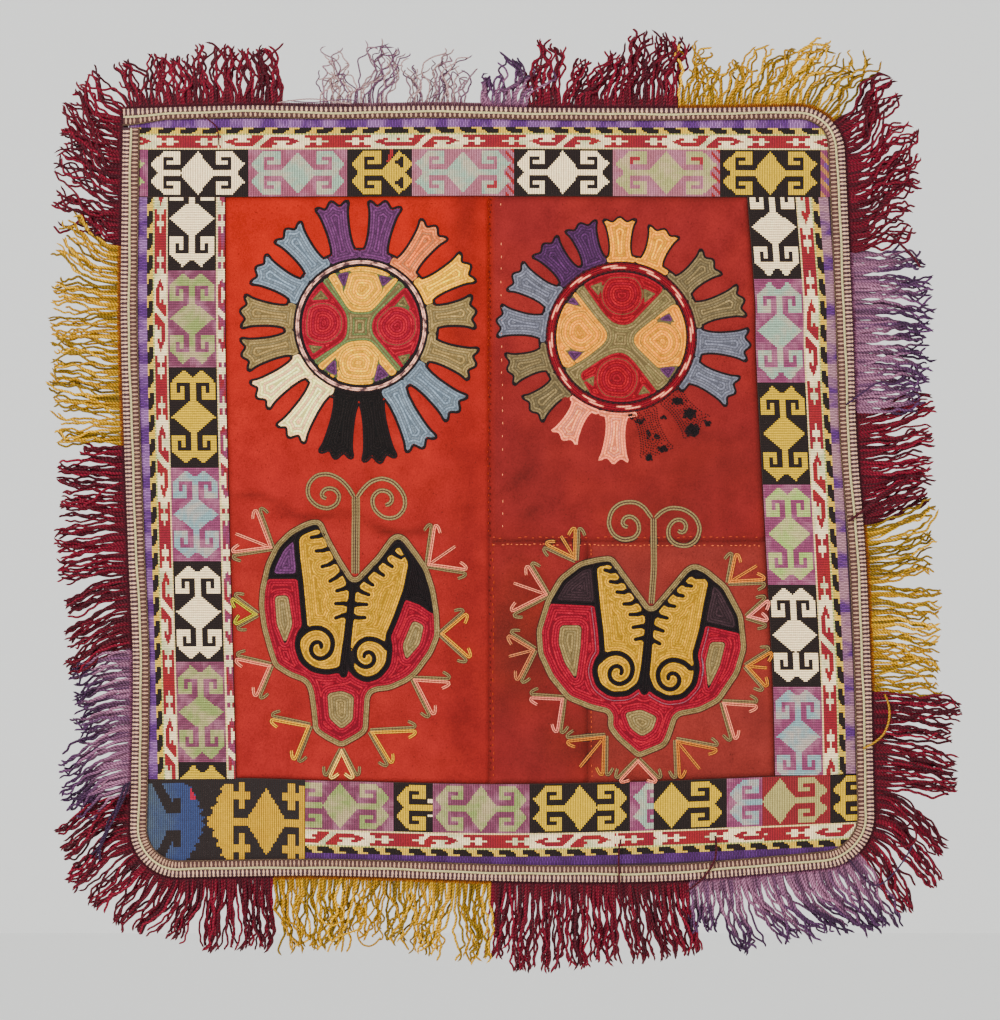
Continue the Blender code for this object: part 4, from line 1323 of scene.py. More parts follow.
def make_sun(name, sun):
    centre = np.array(sun["centre"])
    batch = Batch()
    canvas = Canvas(centre - 104, centre + 104)
    ring = canvas.disc(centre, sun["ring"])
    collar = canvas.disc(centre, sun["foot"])
    angle_here = np.degrees(np.arctan2(canvas.x - centre[0], canvas.z - centre[1])) % 360
    radius_here = np.hypot(canvas.x - centre[0], canvas.z - centre[1])
    shapes = []
    angles = np.array([ray[0] % 360 for ray in sun["rays"]])
    for angle, reach, colour in sun["rays"]:
        gaps = np.sort((angles - angle) % 360)
        after = min(gaps[1], WIDEST_COLLAR) / 2
        before = min(360 - gaps[-1], WIDEST_COLLAR) / 2
        turned = (angle_here - angle + 180) % 360 - 180
        within = np.minimum(turned + before, after - turned) * math.pi / 180 * radius_here
        ray = canvas.polygon(rounded(ray_polygon(centre, angle, sun["ring"], reach - 1.2), 1.2))
        field = either(ray, both(collar, within + 0.3))
        if shapes and shapes[-1][0] == colour:
            shapes[-1][1] = either(shapes[-1][1], field)
        else:
            shapes.append([colour, field])
    sun_field = either(ring, *(shape for _, shape in shapes))
    outlined = either(*(shape for _, shape in shapes)) + 3.4
    for colour, shape in shapes:
        if colour == PINK:
            outlined = both(outlined, -(shape + 3.0))
    batch.underlay(canvas, either(sun_field, both(sun_field + 1.0, outlined)), tone(INK), 0.04)
    for number, (colour, field) in enumerate(shapes):
        earlier = [-shape for _, shape in shapes[:number]]
        fill(batch, canvas, both(field, -ring, *earlier), shades(colour, (1.0, 1.06, 0.95, 1.09, 0.97, 1.06)))
    rows(batch, canvas, sun_field, (0.2 - sun["outline"] / 2,), plain(INK), HIGH_LIFT, sun["outline"],
         outlined)
    for angle, reach in sun["shade_and_wear"]:
        field = canvas.polygon(ray_polygon(centre, angle, sun["ring"] + 0.5, reach))
        for height in np.arange(-0.5, field.max(), 1.65):
            for line in contours(canvas, field, height):
                line = resampled(line, 1.7, True)
                for i in np.flatnonzero(dice.random(len(line)) < 0.88):
                    end = line[i] + (line[(i + 1) % len(line)] - line[i]) * 0.56
                    shade = tone(INK) * dice.uniform(0.6, 2.0)
                    batch.ribbon((line[i], (line[i] + end) / 2, end), shade, 1.2, 0.9)
    for place, wide, high in sun["patches"]:
        spot = centre + np.array(place)
        away = np.hypot((canvas.x - spot[0]) / wide, (canvas.z - spot[1]) / high)
        ragged = 3.6 * (wander(canvas.x, canvas.z, 1.1, spot[0]) - 0.55)
        fill(batch, canvas, (1 - away) * min(wide, high) + ragged * (away < 1.6), plain(INK),
             pitch=FINE_PITCH)
    make_ring(batch, sun, centre)
    disc = canvas.disc(centre, sun["disc"] - 0.5)
    triangles = []
    for colour, corner_sets in sun["triangles"]:
        for corners in corner_sets:
            corners = np.array(corners)
            middle = corners.mean(axis=0)
            size = TAN_SIZE if colour == TAN else 1.0
            triangles.append((colour, canvas.polygon(centre + middle + (corners - middle) * size)))
    outside_triangles = [-triangle for _, triangle in triangles]
    petals = []
    for colour, middle, radius, corners in sun["petals"]:
        corners = np.array(corners)
        outer = np.linalg.norm(corners, axis=1) > 0.86 * sun["disc"]
        corners = np.where(outer[:, None], corners * 1.07, corners)
        petal = both(canvas.polygon(centre + rounded(corners, 2.5)), disc)
        petals.append(petal)
        target = both(canvas.disc(centre + np.array(middle), radius), petal - 2 * ROW_PITCH)
        fill(batch, canvas, both(petal, *outside_triangles, -target), shades(colour))
        fill(batch, canvas, both(target, *outside_triangles), shades(colour))
    for colour, triangle in triangles:
        fill(batch, canvas, triangle, plain(colour))
    cross = both(disc, *(-petal for petal in petals))
    # Darker layer under the disc's rows: painted shade that shows between them.
    batch.underlay(canvas, disc, tone(sun["cross"]) * 0.5, 0.07)
    fill(batch, canvas, cross, lambda number: OLIVE if number % 2 else sun["cross"])
    batch.finish(name, CHAIN)


def make_ring(batch, sun, centre):
    """Ring of couched rows between the disc and the rays: dark at both edges, with a pale or dashed band."""
    turn = np.linspace(0, 2 * math.pi, 156, endpoint=False)
    degrees = np.degrees(turn)
    light, dark = (tone(colour) for colour in sun["band"])
    inner = sun["disc"] + 0.6
    outer = sun["ring"] - 0.6
    widths = (0.8, 1.5, 1.5, 0.8) if sun["dashed"] else (1.3, 1.3)
    circle = np.stack((np.cos(turn), np.sin(turn)), axis=1)
    edges = np.tile(tone(INK), (len(turn), 1))
    if sun["dashed"]:
        edges = mixed(edges, dark, (np.arange(len(turn)) % 2) * 0.3)
    for radius in (inner, outer):
        batch.ribbon(centre + radius * circle, edges, 1.5, 0.95, True)
    start = (inner + outer - sum(widths)) / 2
    for number, width in enumerate(widths):
        radius = start + sum(widths[:number]) + width / 2
        if sun["dashed"]:
            dash = ((degrees - 8.0 * number + 12.0) % 30.0 < 12.0) & (number in (1, 2))
            colours = np.where(dash[:, None], light, dark)
        else:
            pale = np.clip(wander(degrees * 0.8, number * 1.5, 4.5, 1.0) * 6 - 2.2, 0, 1)
            colours = mixed(dark, light, pale)
        batch.ribbon(centre + radius * circle, colours, width, 0.75, True)


BOOT_WELT = 3.3
OLIVE_BAND = 3.6

# Hearts. Bar: place, half width. Teeth: tip, middle, root. Caps: corners, silk if any, dark edge's width.
# Spirals: centre, sense, (angle clockwise from up, radius) inwards. Stem: line, rows. Scrolls: middle lines.
# Sprouts: foot, tips of the two arms, tip of the stroke between them if any, silk beside the olive one.
LEFT_HEART = {
    "outline": ((-93.5, -329.9), (-77.9, -313.5), (-68.3, -299.9), (-62.9, -297.6), (-57.5, -299.9),
        (-49.3, -310.8), (-41.8, -321.7), (-37, -336.7), (-34.3, -353), (-33.6, -369.4), (-38.4, -381.6),
        (-49.3, -396.6), (-56.1, -402), (-68.3, -407.5), (-79.2, -408.6), (-82.6, -411.6), (-84, -436.1),
        (-88.8, -440.2), (-102.4, -447.7), (-113.3, -442.2), (-122.1, -436.1), (-123.5, -421.1),
        (-125.5, -407.5), (-128.3, -402), (-139.2, -398), (-150.1, -391.1), (-154.1, -378.9),
        (-158.2, -363.9), (-160.3, -348.9), (-159.6, -336.7), (-155.5, -319), (-148.7, -305.3),
        (-139.2, -295.8), (-129.6, -290.4), (-121.5, -287.6), (-116, -289.0), (-110.6, -301.3),
        (-102.4, -316.2)),
    "boots": (((-132.6, -301.3), (-129.6, -298.3), (-120.1, -294.5), (-116.6, -295.2), (-114.0, -301.3),
        (-107, -316.2), (-99.8, -329.5), (-96.8, -337.5), (-97.6, -349), (-100.3, -370), (-102.4, -388.4),
        (-104.0, -391.8), (-113, -393.4), (-122, -391.6), (-128.8, -386), (-132, -377), (-131, -369.5),
        (-126.6, -363.4), (-129.6, -331.2), (-131.7, -314.9)), ((-62.2, -305.8), (-55.2, -318.4),
        (-58.8, -336.7), (-65.6, -355.7), (-71.6, -369.8), (-70.0, -378), (-71.3, -389), (-77.4, -396.4),
        (-85.2, -398.8), (-92.6, -395), (-96.2, -386), (-96.6, -379), (-94.4, -357), (-93.2, -338),
        (-89.3, -333.2), (-78, -322))),
    "spirals": (((-118.2, -376.9), 1, ((-60, 14.8), (-20, 13.6), (0, 13.0), (45, 11.2), (90, 9.4),
        (135, 8.9), (180, 8.5), (225, 6.9), (270, 5.2), (315, 4.0), (360, 3.0), (420, 2.0), (470, 1.6))),
        ((-84.6, -383.9), -1, ((-65, 14.8), (-20, 12.8), (0, 12.4), (45, 10.2), (90, 8.4), (135, 7.6),
        (180, 7.2), (225, 6.2), (270, 4.8), (315, 3.8), (360, 3.0), (420, 2.2), (450, 2.0)))),
    "bar": (((-93.4, -331.0), 2.0), ((-95.0, -340), 2.3), ((-97.0, -357), 2.3), ((-99.2, -376), 2.4),
        ((-101.2, -391), 2.8), ((-101.0, -396), 2.4)),
    "teeth": (((-123.5, -300.6), (-119, -300.9), (-114.6, -298.5)), ((-120.1, -310.1), (-115.6, -311.1),
        (-111.0, -308.4)), ((-116, -321), (-111.4, -321.4), (-106.6, -316.9)), ((-110.6, -331.2),
        (-106, -330.4), (-101.4, -324.4)), ((-105.8, -338), (-101.2, -337.8), (-96.4, -334.3)),
        ((-106.5, -346.9), (-101.5, -345.7), (-96, -347.6)), ((-106.5, -356.9), (-101.8, -354.2),
        (-97, -354.4)), ((-60.8, -314.9), (-63.9, -313.6), (-66.9, -311.2)), ((-67, -321), (-70.4, -320.4),
        (-73.6, -315.1)), ((-73.1, -327.1), (-76.6, -326.6), (-79.7, -321.2)), ((-80.6, -333.9),
        (-84.2, -333.6), (-87.2, -328.0)), ((-83.4, -340.6), (-87.5, -340.6), (-92.1, -336.2)),
        ((-84.8, -347.5), (-89.5, -346.7), (-93.5, -347.6)), ((-86.1, -356.7), (-90.5, -357.7),
        (-94.8, -355.9))),
    "caps": ((((-108, -284), (-168, -300), (-166, -329.5), (-131, -329.5), (-131, -300)), SUN_VIOLET, 3.4),
        (((-75, -290), (-20, -320), (-33, -353.2), (-40.0, -353.2), (-47.9, -347.6), (-60.5, -343.0),
        (-52, -320)), None, 0.0)),
    "ovals": (((-149.2, -341.6), (-139.8, -340.9), (-136.6, -361.2), (-141.9, -375.8), (-147.8, -361.2)),
        ((-52.5, -358.5), (-44.7, -362.0), (-47.6, -375.3), (-57.4, -386.7), (-60.0, -376.2)),
        ((-112.4, -409.7), (-102.4, -407.7), (-93.7, -411.1), (-94.4, -428.4), (-102.4, -435),
        (-111.1, -427.1))),
    "line": None,
    "stem": (((-92.8, -326.0), (-92.6, -300.0), (-92.4, -272.0)), 4),
    "scrolls": (((-93.5, -272.6), (-98.4, -264.1), (-106.3, -257.6), (-115.3, -255.6), (-123.5, -259.2),
        (-127.0, -268.0), (-123.6, -275.9), (-115.6, -280.6), (-108.0, -279.6), (-103.8, -274.4),
        (-104.6, -268.6), (-110.2, -265.6), (-115.6, -267.6), (-116.6, -272.2), (-113, -273.4)),
        ((-91.5, -272.6), (-86.3, -265.1), (-79.4, -259.9), (-70.4, -259.2), (-62.3, -264.8),
        (-57.0, -274.7), (-60.0, -284.3), (-68.7, -288.3), (-77.3, -284.6), (-81.8, -276.4),
        (-79.2, -269.2), (-72.8, -267.0), (-66.8, -270.7), (-67.4, -277.0), (-71.9, -278.0))),
    "sprouts": (((-150.7, -308.1), (-160.9, -280.8), (-178.6, -312.1), (-176.6, -297.9), PINK),
        ((-160.9, -354.4), (-178, -342.1), (-176, -362.5), None, (206, 196, 110)), ((-151.4, -389.8),
        (-175.9, -384.3), (-160.9, -412.2), None, PINK), ((-124.2, -432), (-151.4, -426.6),
        (-134, -456.5), None, YELLOW), ((-102.4, -448.4), (-111.9, -467.8), (-92.8, -467.8), None,
        (226, 206, 160)), ((-82.6, -436.1), (-50.6, -434.7), (-69, -459.2), None, YELLOW), ((-52.7, -399.3),
        (-26.8, -400.7), (-39.7, -425.2), None, PINK), ((-33.6, -368), (-16, -353), (-13.9, -385.7), None,
        (226, 186, 90)), ((-42.5, -320.3), (-38.4, -291.7), (-15.2, -324.4), (-22.7, -306.7), PINK)),
}
RIGHT_HEART = {
    "outline": ((77.4, -314.2), (87.2, -313.4), (100, -331), (114.1, -350.3), (128, -334), (138.6, -321.2),
        (144.8, -318.6), (153, -322), (167.3, -333.9), (178.5, -354.9), (181.0, -378.4), (175.7, -396.2),
        (162.4, -415.8), (149.1, -422.8), (132.7, -426), (127.9, -440.6), (124.5, -447.3), (105, -455.3),
        (89.9, -442), (83.7, -433.7), (84.4, -424), (71.9, -421.2), (55.3, -414.4), (42.7, -399),
        (35, -382.2), (33.8, -365.9), (40.6, -343.7), (49.7, -328.3), (63.7, -317.5)),
    "boots": (((75.6, -321.2), (85.6, -318.9), (98, -336), (109.4, -352.1), (110.6, -358), (109.4, -374),
        (107.4, -392), (105.2, -402.4), (97, -408.6), (86.5, -409), (78.6, -403.4), (76, -394.5),
        (77.6, -387.8), (81.6, -382.5), (80.4, -366), (78.4, -350.7)), ((145.1, -323.8), (154.8, -331.6),
        (151.6, -346), (148, -365.9), (143.2, -382.6), (145.0, -392), (142.8, -403), (135.6, -410.6),
        (125.6, -411.8), (116.4, -407), (112.6, -398), (113.6, -380), (115.8, -360), (118.4, -353),
        (130, -338.5))),
    "spirals": (((91.2, -394.9), 1, ((-60, 15.0), (-20, 13.8), (0, 13.2), (45, 11.6), (90, 9.8),
        (135, 8.8), (180, 8.3), (225, 7.2), (270, 6.0), (315, 5.0), (360, 4.2), (420, 3.0), (480, 2.2))),
        ((128.2, -399.2), -1, ((-62, 15.0), (-20, 13.2), (0, 12.8), (45, 10.8), (90, 9.0), (135, 8.2),
        (180, 7.8), (225, 6.7), (270, 5.5), (315, 4.4), (360, 3.4), (420, 2.4), (460, 2.0)))),
    "bar": (((113.8, -351.5), 2.6), ((113.2, -362), 2.8), ((111.8, -380), 2.8), ((109.6, -403), 3.0),
        ((109.4, -408), 2.6)),
    "teeth": (((81.8, -323.4), (85.5, -326.8), (90.2, -323.8)), ((85.6, -331.5), (90.2, -334.6),
        (94.6, -330.5)), ((90.3, -338.8), (95.2, -341.7), (99.4, -337.3)), ((95.2, -347.2), (100, -349.8),
        (104.6, -344.6)), ((99.4, -354.6), (104.6, -356.3), (110.2, -352.8)), ((101.6, -363.6),
        (106.5, -362.2), (111.5, -362.6)), ((103.2, -372), (108, -370.2), (112, -371)), ((149.4, -328.6),
        (145.6, -331.6), (142, -325.6)), ((142.4, -334.6), (138.7, -337.4), (135.2, -330.8)),
        ((136.6, -341.6), (132.8, -344), (128.6, -337.5)), ((130.6, -348.8), (126.7, -350.9),
        (122.2, -345.2)), ((125.4, -357), (121.3, -357.6), (116.2, -353.4)), ((122.6, -366.2),
        (118.4, -364.6), (113.8, -362.6)), ((120.2, -375), (116, -372.2), (111.6, -371))),
    "caps": ((((96, -308), (40, -312), (30, -346.4), (44.9, -346.9), (78, -348.6), (76.5, -330)), BROWN,
        2.6), (((136, -312), (176, -322), (190, -371), (175.7, -367.6), (149.0, -361.4),
        (154, -340)), BROWN, 2.6)),
    "ovals": (((50.6, -362.1), (65.6, -362.1), (64.9, -377), (61.6, -400.4), (53.4, -388), (49.2, -374.2)),
        ((155.6, -373.7), (166.4, -373.7), (162.2, -390.6), (154, -407.4), (152.1, -388)), ((95.6, -423.5),
        (107.1, -420.9), (118.6, -426.2), (115.3, -435.6), (107.8, -440.2), (99.6, -434.2))),
    "line": (146, 118, 128),
    "stem": (((114.4, -347.0), (116.2, -322.0), (115.8, -287.0)), 3),
    "scrolls": (((114.6, -287), (107.8, -277.4), (98.7, -275.1), (88.9, -278.3), (84.2, -287),
        (85.2, -295.8), (91.3, -301.8), (99, -302.4), (105, -299.1), (106.2, -292.6), (103.3, -287.2),
        (97.9, -285.3), (93.9, -288.6), (94.6, -292.6), (97.9, -293.3)), ((117.0, -287), (123.1, -281),
        (131.8, -279.4), (141.6, -282.7), (148, -290.4), (148, -299.1), (142.7, -306.1), (134, -306.8),
        (127.6, -303.1), (125.6, -296.9), (127.6, -290.6), (132.9, -287.5), (138, -289.5), (139, -294.5),
        (136.2, -297.7), (132.9, -295.8))),
    "sprouts": (((61.6, -316.8), (39.9, -306.4), (62.3, -294), (51.1, -299.6), (216, 170, 110)),
        ((42, -340.9), (29, -319.6), (17.2, -353.5), (17.9, -332.5), PINK), ((33.1, -379.1), (15.1, -368),
        (22.1, -401.1), (14.5, -383.9), PEACH), ((53.2, -413), (29.7, -411.6), (49.7, -437.2), None,
        (222, 168, 156)), ((82.3, -439.3), (55.3, -442.1), (81.6, -466.9), (64.3, -461.3), (216, 160, 104)),
        ((105, -455.7), (91.3, -470.1), (119, -470.1), None, PINK), ((131.5, -442.1), (160.3, -447.6),
        (132.8, -468.7), (148.1, -462.7), (216, 160, 104)), ((163.8, -415.8), (188.3, -417.2),
        (171.5, -442.1), None, PINK), ((179.9, -390.6), (197.8, -379.8), (193.7, -406), (195.4, -392),
        (220, 170, 110)), ((180.6, -356.3), (195.1, -343.7), (195.0, -360.4), None, (226, 180, 170)),
        ((168, -332.5), (172.2, -311.9), (193.7, -331.3), (188.2, -320.3), (222, 168, 116))),
}


def stroke(batch, line, colour, count, pitch=1.15, lift=ROW_LIFT, spacing=1.6):
    """Several parallel rows along a line."""
    line = resampled(line, spacing)
    side = left_of(line)
    # Dark brown ribbon under and beside the rows: painted shade along the stroke's edges.
    batch.ribbon(line, tone((84, 50, 44)), count * pitch + 1.1, 0.5)
    for number in range(count):
        offset = (number - (count - 1) / 2) * pitch
        shade = tone(colour) * dice.normal(1.0, 0.06) * dice.normal(1.0, 0.05, len(line))[:, None]
        batch.ribbon(line + side * offset, shade, pitch + 0.05, lift)


def softened(line):
    """Open line with its corners cut three times over."""
    line = np.asarray(line, dtype=float)
    for _ in range(3):
        pairs = np.stack((line[:-1] * 0.75 + line[1:] * 0.25, line[:-1] * 0.25 + line[1:] * 0.75), axis=1)
        line = np.vstack((line[:1], pairs.reshape(-1, 2)[1:-1], line[-1:]))
    return line


def hooked_arm(batch, base, tip, left_silk, right_silk):
    """Arm of a sprout: two silks side by side whose ends turn back in hooks to both sides."""
    out = (tip - base) / np.linalg.norm(tip - base)
    side = np.array((-out[1], out[0]))
    for sense, silk in ((1, left_silk), (-1, right_silk)):
        turned = side * sense
        line = (base + turned * 0.9, base + (tip - base) * 0.5 + turned * 1.15,
                tip - out * 2.4 + turned * 1.15, tip - out * 0.2 + turned * 1.3,
                tip - out * 0.2 + turned * 3.0, tip - out * 2.6 + turned * 4.6,
                tip - out * 5.2 + turned * 5.8)
        stroke(batch, softened(line), silk, 2, 1.15, HIGH_LIFT, 1.2)


def make_heart(name, heart):
    batch = Batch()
    border = rounded(heart["outline"], 2.0)
    canvas = Canvas(border.min(axis=0) - 10, border.max(axis=0) + 10)
    whole = canvas.polygon(border)
    batch.underlay(canvas, whole, tone(INK), 0.04)
    inner = whole - OLIVE_BAND
    boots = [canvas.polygon(rounded(boot, 1.6)) for boot in heart["boots"]]
    bar_points = [place for place, _ in heart["bar"]]
    dark = [both(canvas.line(bar_points, [half for _, half in heart["bar"]]), inner)]
    outsides = [-(boot + BOOT_WELT) for boot in boots]
    dark += [both(0.4 - boot, boot + BOOT_WELT, inner) for boot in boots]
    for tip, middle, root in heart["teeth"]:
        bent = [(a + b) * 0.35 + c * 0.3 for a, b, c in zip(tip, root, middle)]
        dark.append(canvas.line((tip, bent, root), (1.1, 1.25, 1.6)))
    for centre, sense, table in heart["spirals"]:
        angle, radius = np.array(table, dtype=float).T
        fine = np.linspace(angle[0], angle[-1], 60)
        reach = np.interp(fine, angle, radius)
        turn = np.radians(fine * sense)
        line = np.stack((centre[0] + reach * np.sin(turn), centre[1] + reach * np.cos(turn)), axis=1)
        dark.append(canvas.line(line, np.interp(fine, (fine[0], 60, fine[-1]), (1.7, 1.6, 1.15))))
    dark = either(*dark)
    rest = both(inner, *outsides)
    for corners, colour, edge in heart["caps"]:
        area = canvas.polygon(corners)
        cap = both(area, rest)
        if colour:
            middle = both(area - edge, inner - edge, *outsides)
            fill(batch, canvas, middle, shades(colour))
            cap = both(cap, -middle)
        dark = either(dark, cap)
        rest = both(rest, -area)
    fill(batch, canvas, dark, plain(INK), HIGH_LIFT, FINE_PITCH)
    for boot in boots:
        fill(batch, canvas, both(boot, -dark), shades((210, 178, 98), (1.0, 1.02, 0.98)), pitch=1.6)
    ovals = [canvas.polygon(rounded(corners, 1.5)) for corners in heart["ovals"]]
    rose = both(rest, -dark, *(-oval for oval in ovals))
    fill(batch, canvas, rose, shades(ROSE, (1.0, 0.98, 1.02)))
    for oval in ovals:
        fill(batch, canvas, oval, shades(OLIVE))
    if heart["line"]:
        rows(batch, canvas, either(*boots), (-5.9,), plain(heart["line"]), HIGH_LIFT, 1.2, rose)
    band = both(whole, -inner)
    # Darker olive layer under the band's rows: painted shade that shows between them.
    batch.underlay(canvas, band, tone(OLIVE) * 0.5)
    rows(batch, canvas, whole, (0.7, 1.95, 3.2), shades(OLIVE), ROW_LIFT + 0.1, 1.25)
    rows(batch, canvas, whole, (-0.2, 4.1), plain((74, 44, 40)), 0.45, 0.6)
    stem, stem_rows = heart["stem"]
    for line, count, pitch in ((stem, stem_rows, 1.5), *((scroll, 2, 1.6) for scroll in heart["scrolls"])):
        stroke(batch, rounded(line, 3.0, False), OLIVE, count, pitch, HIGH_LIFT)
    for base, first, second, middle, silk in heart["sprouts"]:
        base, first, second = (np.array(place) for place in (base, first, second))
        out = first - base
        other = second - base
        silks = (silk, OLIVE) if out[0] * other[1] - out[1] * other[0] > 0 else (OLIVE, silk)
        hooked_arm(batch, base, first, *silks)
        hooked_arm(batch, base, second, *silks[::-1])
        if middle:
            start = base + (np.array(middle) - base) * 0.15
            stroke(batch, (start, (start + np.array(middle)) / 2, middle), silk, 2, 1.1)
    batch.finish(name, CHAIN)


# Running stitches of the ground seams

# Start, end, spacing, length, colour
SEAM_STITCHES = (
    ((9.0, -68.0), (10.5, -300.0), 9.0, 2.2, (226, 176, 150)),
    ((1.6, -64.0), (1.6, -470.0), 4.2, 1.4, (120, 24, 22)),
    ((0.2, -66.0), (0.2, -300.0), 5.0, 1.2, (206, 84, 60)),
    ((3.4, -306.0), (3.8, -470.0), 5.2, 2.4, (206, 96, 70)),
    ((4.0, -300.6), (191.0, -300.4), 4.6, 2.0, (212, 110, 84)),
    ((4.0, -305.6), (190.0, -306.4), 3.2, 1.6, (224, 150, 120)),
    ((71.8, -306.0), (71.9, -314.0), 3.4, 1.7, (214, 120, 92)),
    ((72.2, -423.0), (72.4, -470.0), 3.4, 1.7, (214, 120, 92)),
    ((-180.0, -471.0), (-129.0, -471.4), 5.4, 3.4, (214, 196, 170)),
)


def make_seam_stitches():
    batch = Batch()
    for start, end, spacing, length, colour in SEAM_STITCHES:
        start = np.array(start)
        end = np.array(end)
        run = np.linalg.norm(end - start)
        out = (end - start) / run
        sideways = np.array((out[1], -out[0]))
        for place in np.arange(0, run, spacing):
            if dice.random() < 0.12:
                continue
            middle = start + out * (place + dice.normal(0, 0.3)) + sideways * dice.normal(0, 0.25)
            half = out * length / 2 * dice.uniform(0.7, 1.2)
            batch.ribbon((middle - half, middle, middle + half), tone(colour), 0.7, 0.35)
    batch.finish("seam_stitches", CHAIN)


# Braid

# Insets from the cloth's edge: outer teeth, middle cord, inner teeth, edging, end of the tape
BRAID_SIDES = {"pitch": 2.9, "outer": 0.7, "cord": 5.6, "inner": 10.7, "edging": 11.3, "end": 11.7}
BRAID_TOP = {"pitch": 3.4, "outer": 0.6, "cord": 4.0, "inner": 7.6, "edging": 8.1, "end": 8.4}
BRAID_FRONT = 3.0
TOP_END = 520.0


def braid_size(key, s):
    """A size of the braid at s along the edge: along the top it is narrower than on the other sides."""
    top = np.clip(np.minimum(s - 4.0, TOP_END - s) / 24.0, 0, 1)
    return BRAID_SIDES[key] + (BRAID_TOP[key] - BRAID_SIDES[key]) * top


def braid_place(s, inset):
    """Places on the braid; at its start it runs straight to the cloth's corner."""
    s = np.asarray(s, dtype=float)
    inset = np.broadcast_to(inset, s.shape)
    places, _ = edge_at(s, inset)
    straight = side_point(0, s / (CORNERS[1][0] - CORNERS[0][0])) - np.stack((0 * s, inset), axis=-1)
    return np.where((s < CORNER_RADII[0] + 2)[..., None], straight, places)


def make_braid():
    end = PERIMETER - BRAID_SIDES["end"]
    stations = np.linspace(0.0, end, int(end / 3.4))
    shares = np.array((1.0, 0.8, 0.5, 0.2, 0.0))
    crowns = np.array((-0.4, 0.1, 0.3, 0.1, -0.4))
    s, share = np.meshgrid(stations, shares, indexing="ij")
    inset = share * (braid_size("end", s) + 0.3) - 0.3
    places = braid_place(s, inset)
    depth = cloth_depth(places[..., 0], places[..., 1]) - BRAID_FRONT - crowns + 0.5
    tint = mixed(tone(BRAID_BROWN), tone(BRAID_GREY), np.clip((0.55 - share) * 8, 0, 1))
    tape = make_sheet("cloth_braid_tape", places[..., 0], places[..., 1], depth, 1.4, BRAID_CLOTH,
                      tint.reshape(-1, 3))
    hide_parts("braid_tape")
    yarn = Batch(BRAID_FRONT - 0.2)
    along = np.arange(0.0, end, 2.0)
    wave = 0.25 * np.sin(along / 19.0) + 0.15 * np.sin(along / 7.3)
    for offset in (-0.3, 0.3):
        cord = braid_place(along, braid_size("cord", along) + wave + offset)
        shade = tone(BRAID_CREAM) * dice.normal(1.0, 0.06, len(along))[:, None]
        yarn.ribbon(cord, shade, 0.8, 1.0, step=2.6)
    place = 0.6
    while place < end:
        size = {key: float(braid_size(key, np.array(place))) for key in BRAID_SIDES}
        pitch = size["pitch"]
        cord = size["cord"]
        teeth = ((0.0, cord - 0.5, size["outer"], 0.52, OUTER_TOOTH),
                 (pitch / 2, cord + 0.5, size["inner"], 0.47, INNER_TOOTH))
        for offset, near, far, share, colour in teeth:
            at = place + offset + dice.normal(0, 0.1)
            line = braid_place(np.array((at, at, at)), np.array((near, (near + far) / 2, far)))
            yarn.ribbon(line, tone(colour) * dice.normal(1.0, 0.1), pitch * share, 0.7, step=1.7)
        cap = braid_place(np.array((place - 0.8, place, place + 0.8)),
                          size["outer"] - np.array((0.0, 0.3, 0.0)))
        yarn.ribbon(cap, tone(OUTER_TOOTH) * 0.9, 1.1, 0.5)
        edging = braid_place(place + pitch * np.array((-0.45, 0, 0.45)), np.full(3, size["edging"]))
        yarn.ribbon(edging, tone(EDGING) * dice.normal(1.0, 0.12), 0.7, 0.25)
        place += pitch
    bars = yarn.finish("braid_yarns", BRAID_YARN)


# Fringe

# tip is how closely the cords of a clump meet, kink how far they sway and curl how far their ends turn
SILKS = {
    "crimson": {
        "pitch": 1.1, "radius": 0.9, "tip": 1.0, "kink": 0.95, "curl": 0.9,
        "tones": ((142, 26, 44), (166, 38, 58), (108, 20, 34)),
        "heading": ((118, 22, 40), (150, 50, 66)),
    },
    "yellow": {
        "pitch": 1.55, "radius": 0.86, "tip": 1.6, "kink": 1.1, "curl": 2.2,
        "tones": ((206, 170, 88), (176, 142, 66), (218, 190, 108)),
        "heading": ((176, 92, 50), (222, 170, 90)),
    },
    "violet": {
        "pitch": 1.25, "radius": 0.92, "tip": 1.4, "kink": 1.05, "curl": 2.6,
        "tones": ((92, 52, 96), (116, 74, 120), (72, 40, 80)),
        "heading": ((128, 50, 88), (200, 160, 180)),
    },
    "faded": {
        "pitch": 1.3, "radius": 0.58, "tip": 1.2, "kink": 1.3, "curl": 3.0,
        "tones": ((176, 148, 156), (142, 104, 128), (196, 176, 174)),
        "heading": ((134, 60, 76), (190, 160, 168)),
    },
}
PALE_LILAC = (196, 160, 178)
HEADING_REACH = 2.6
HEADING_FRONT = 0.55
CORD_STEPS = 38
CORD_SIDES = 4
TWIST_LENGTH = 2.3

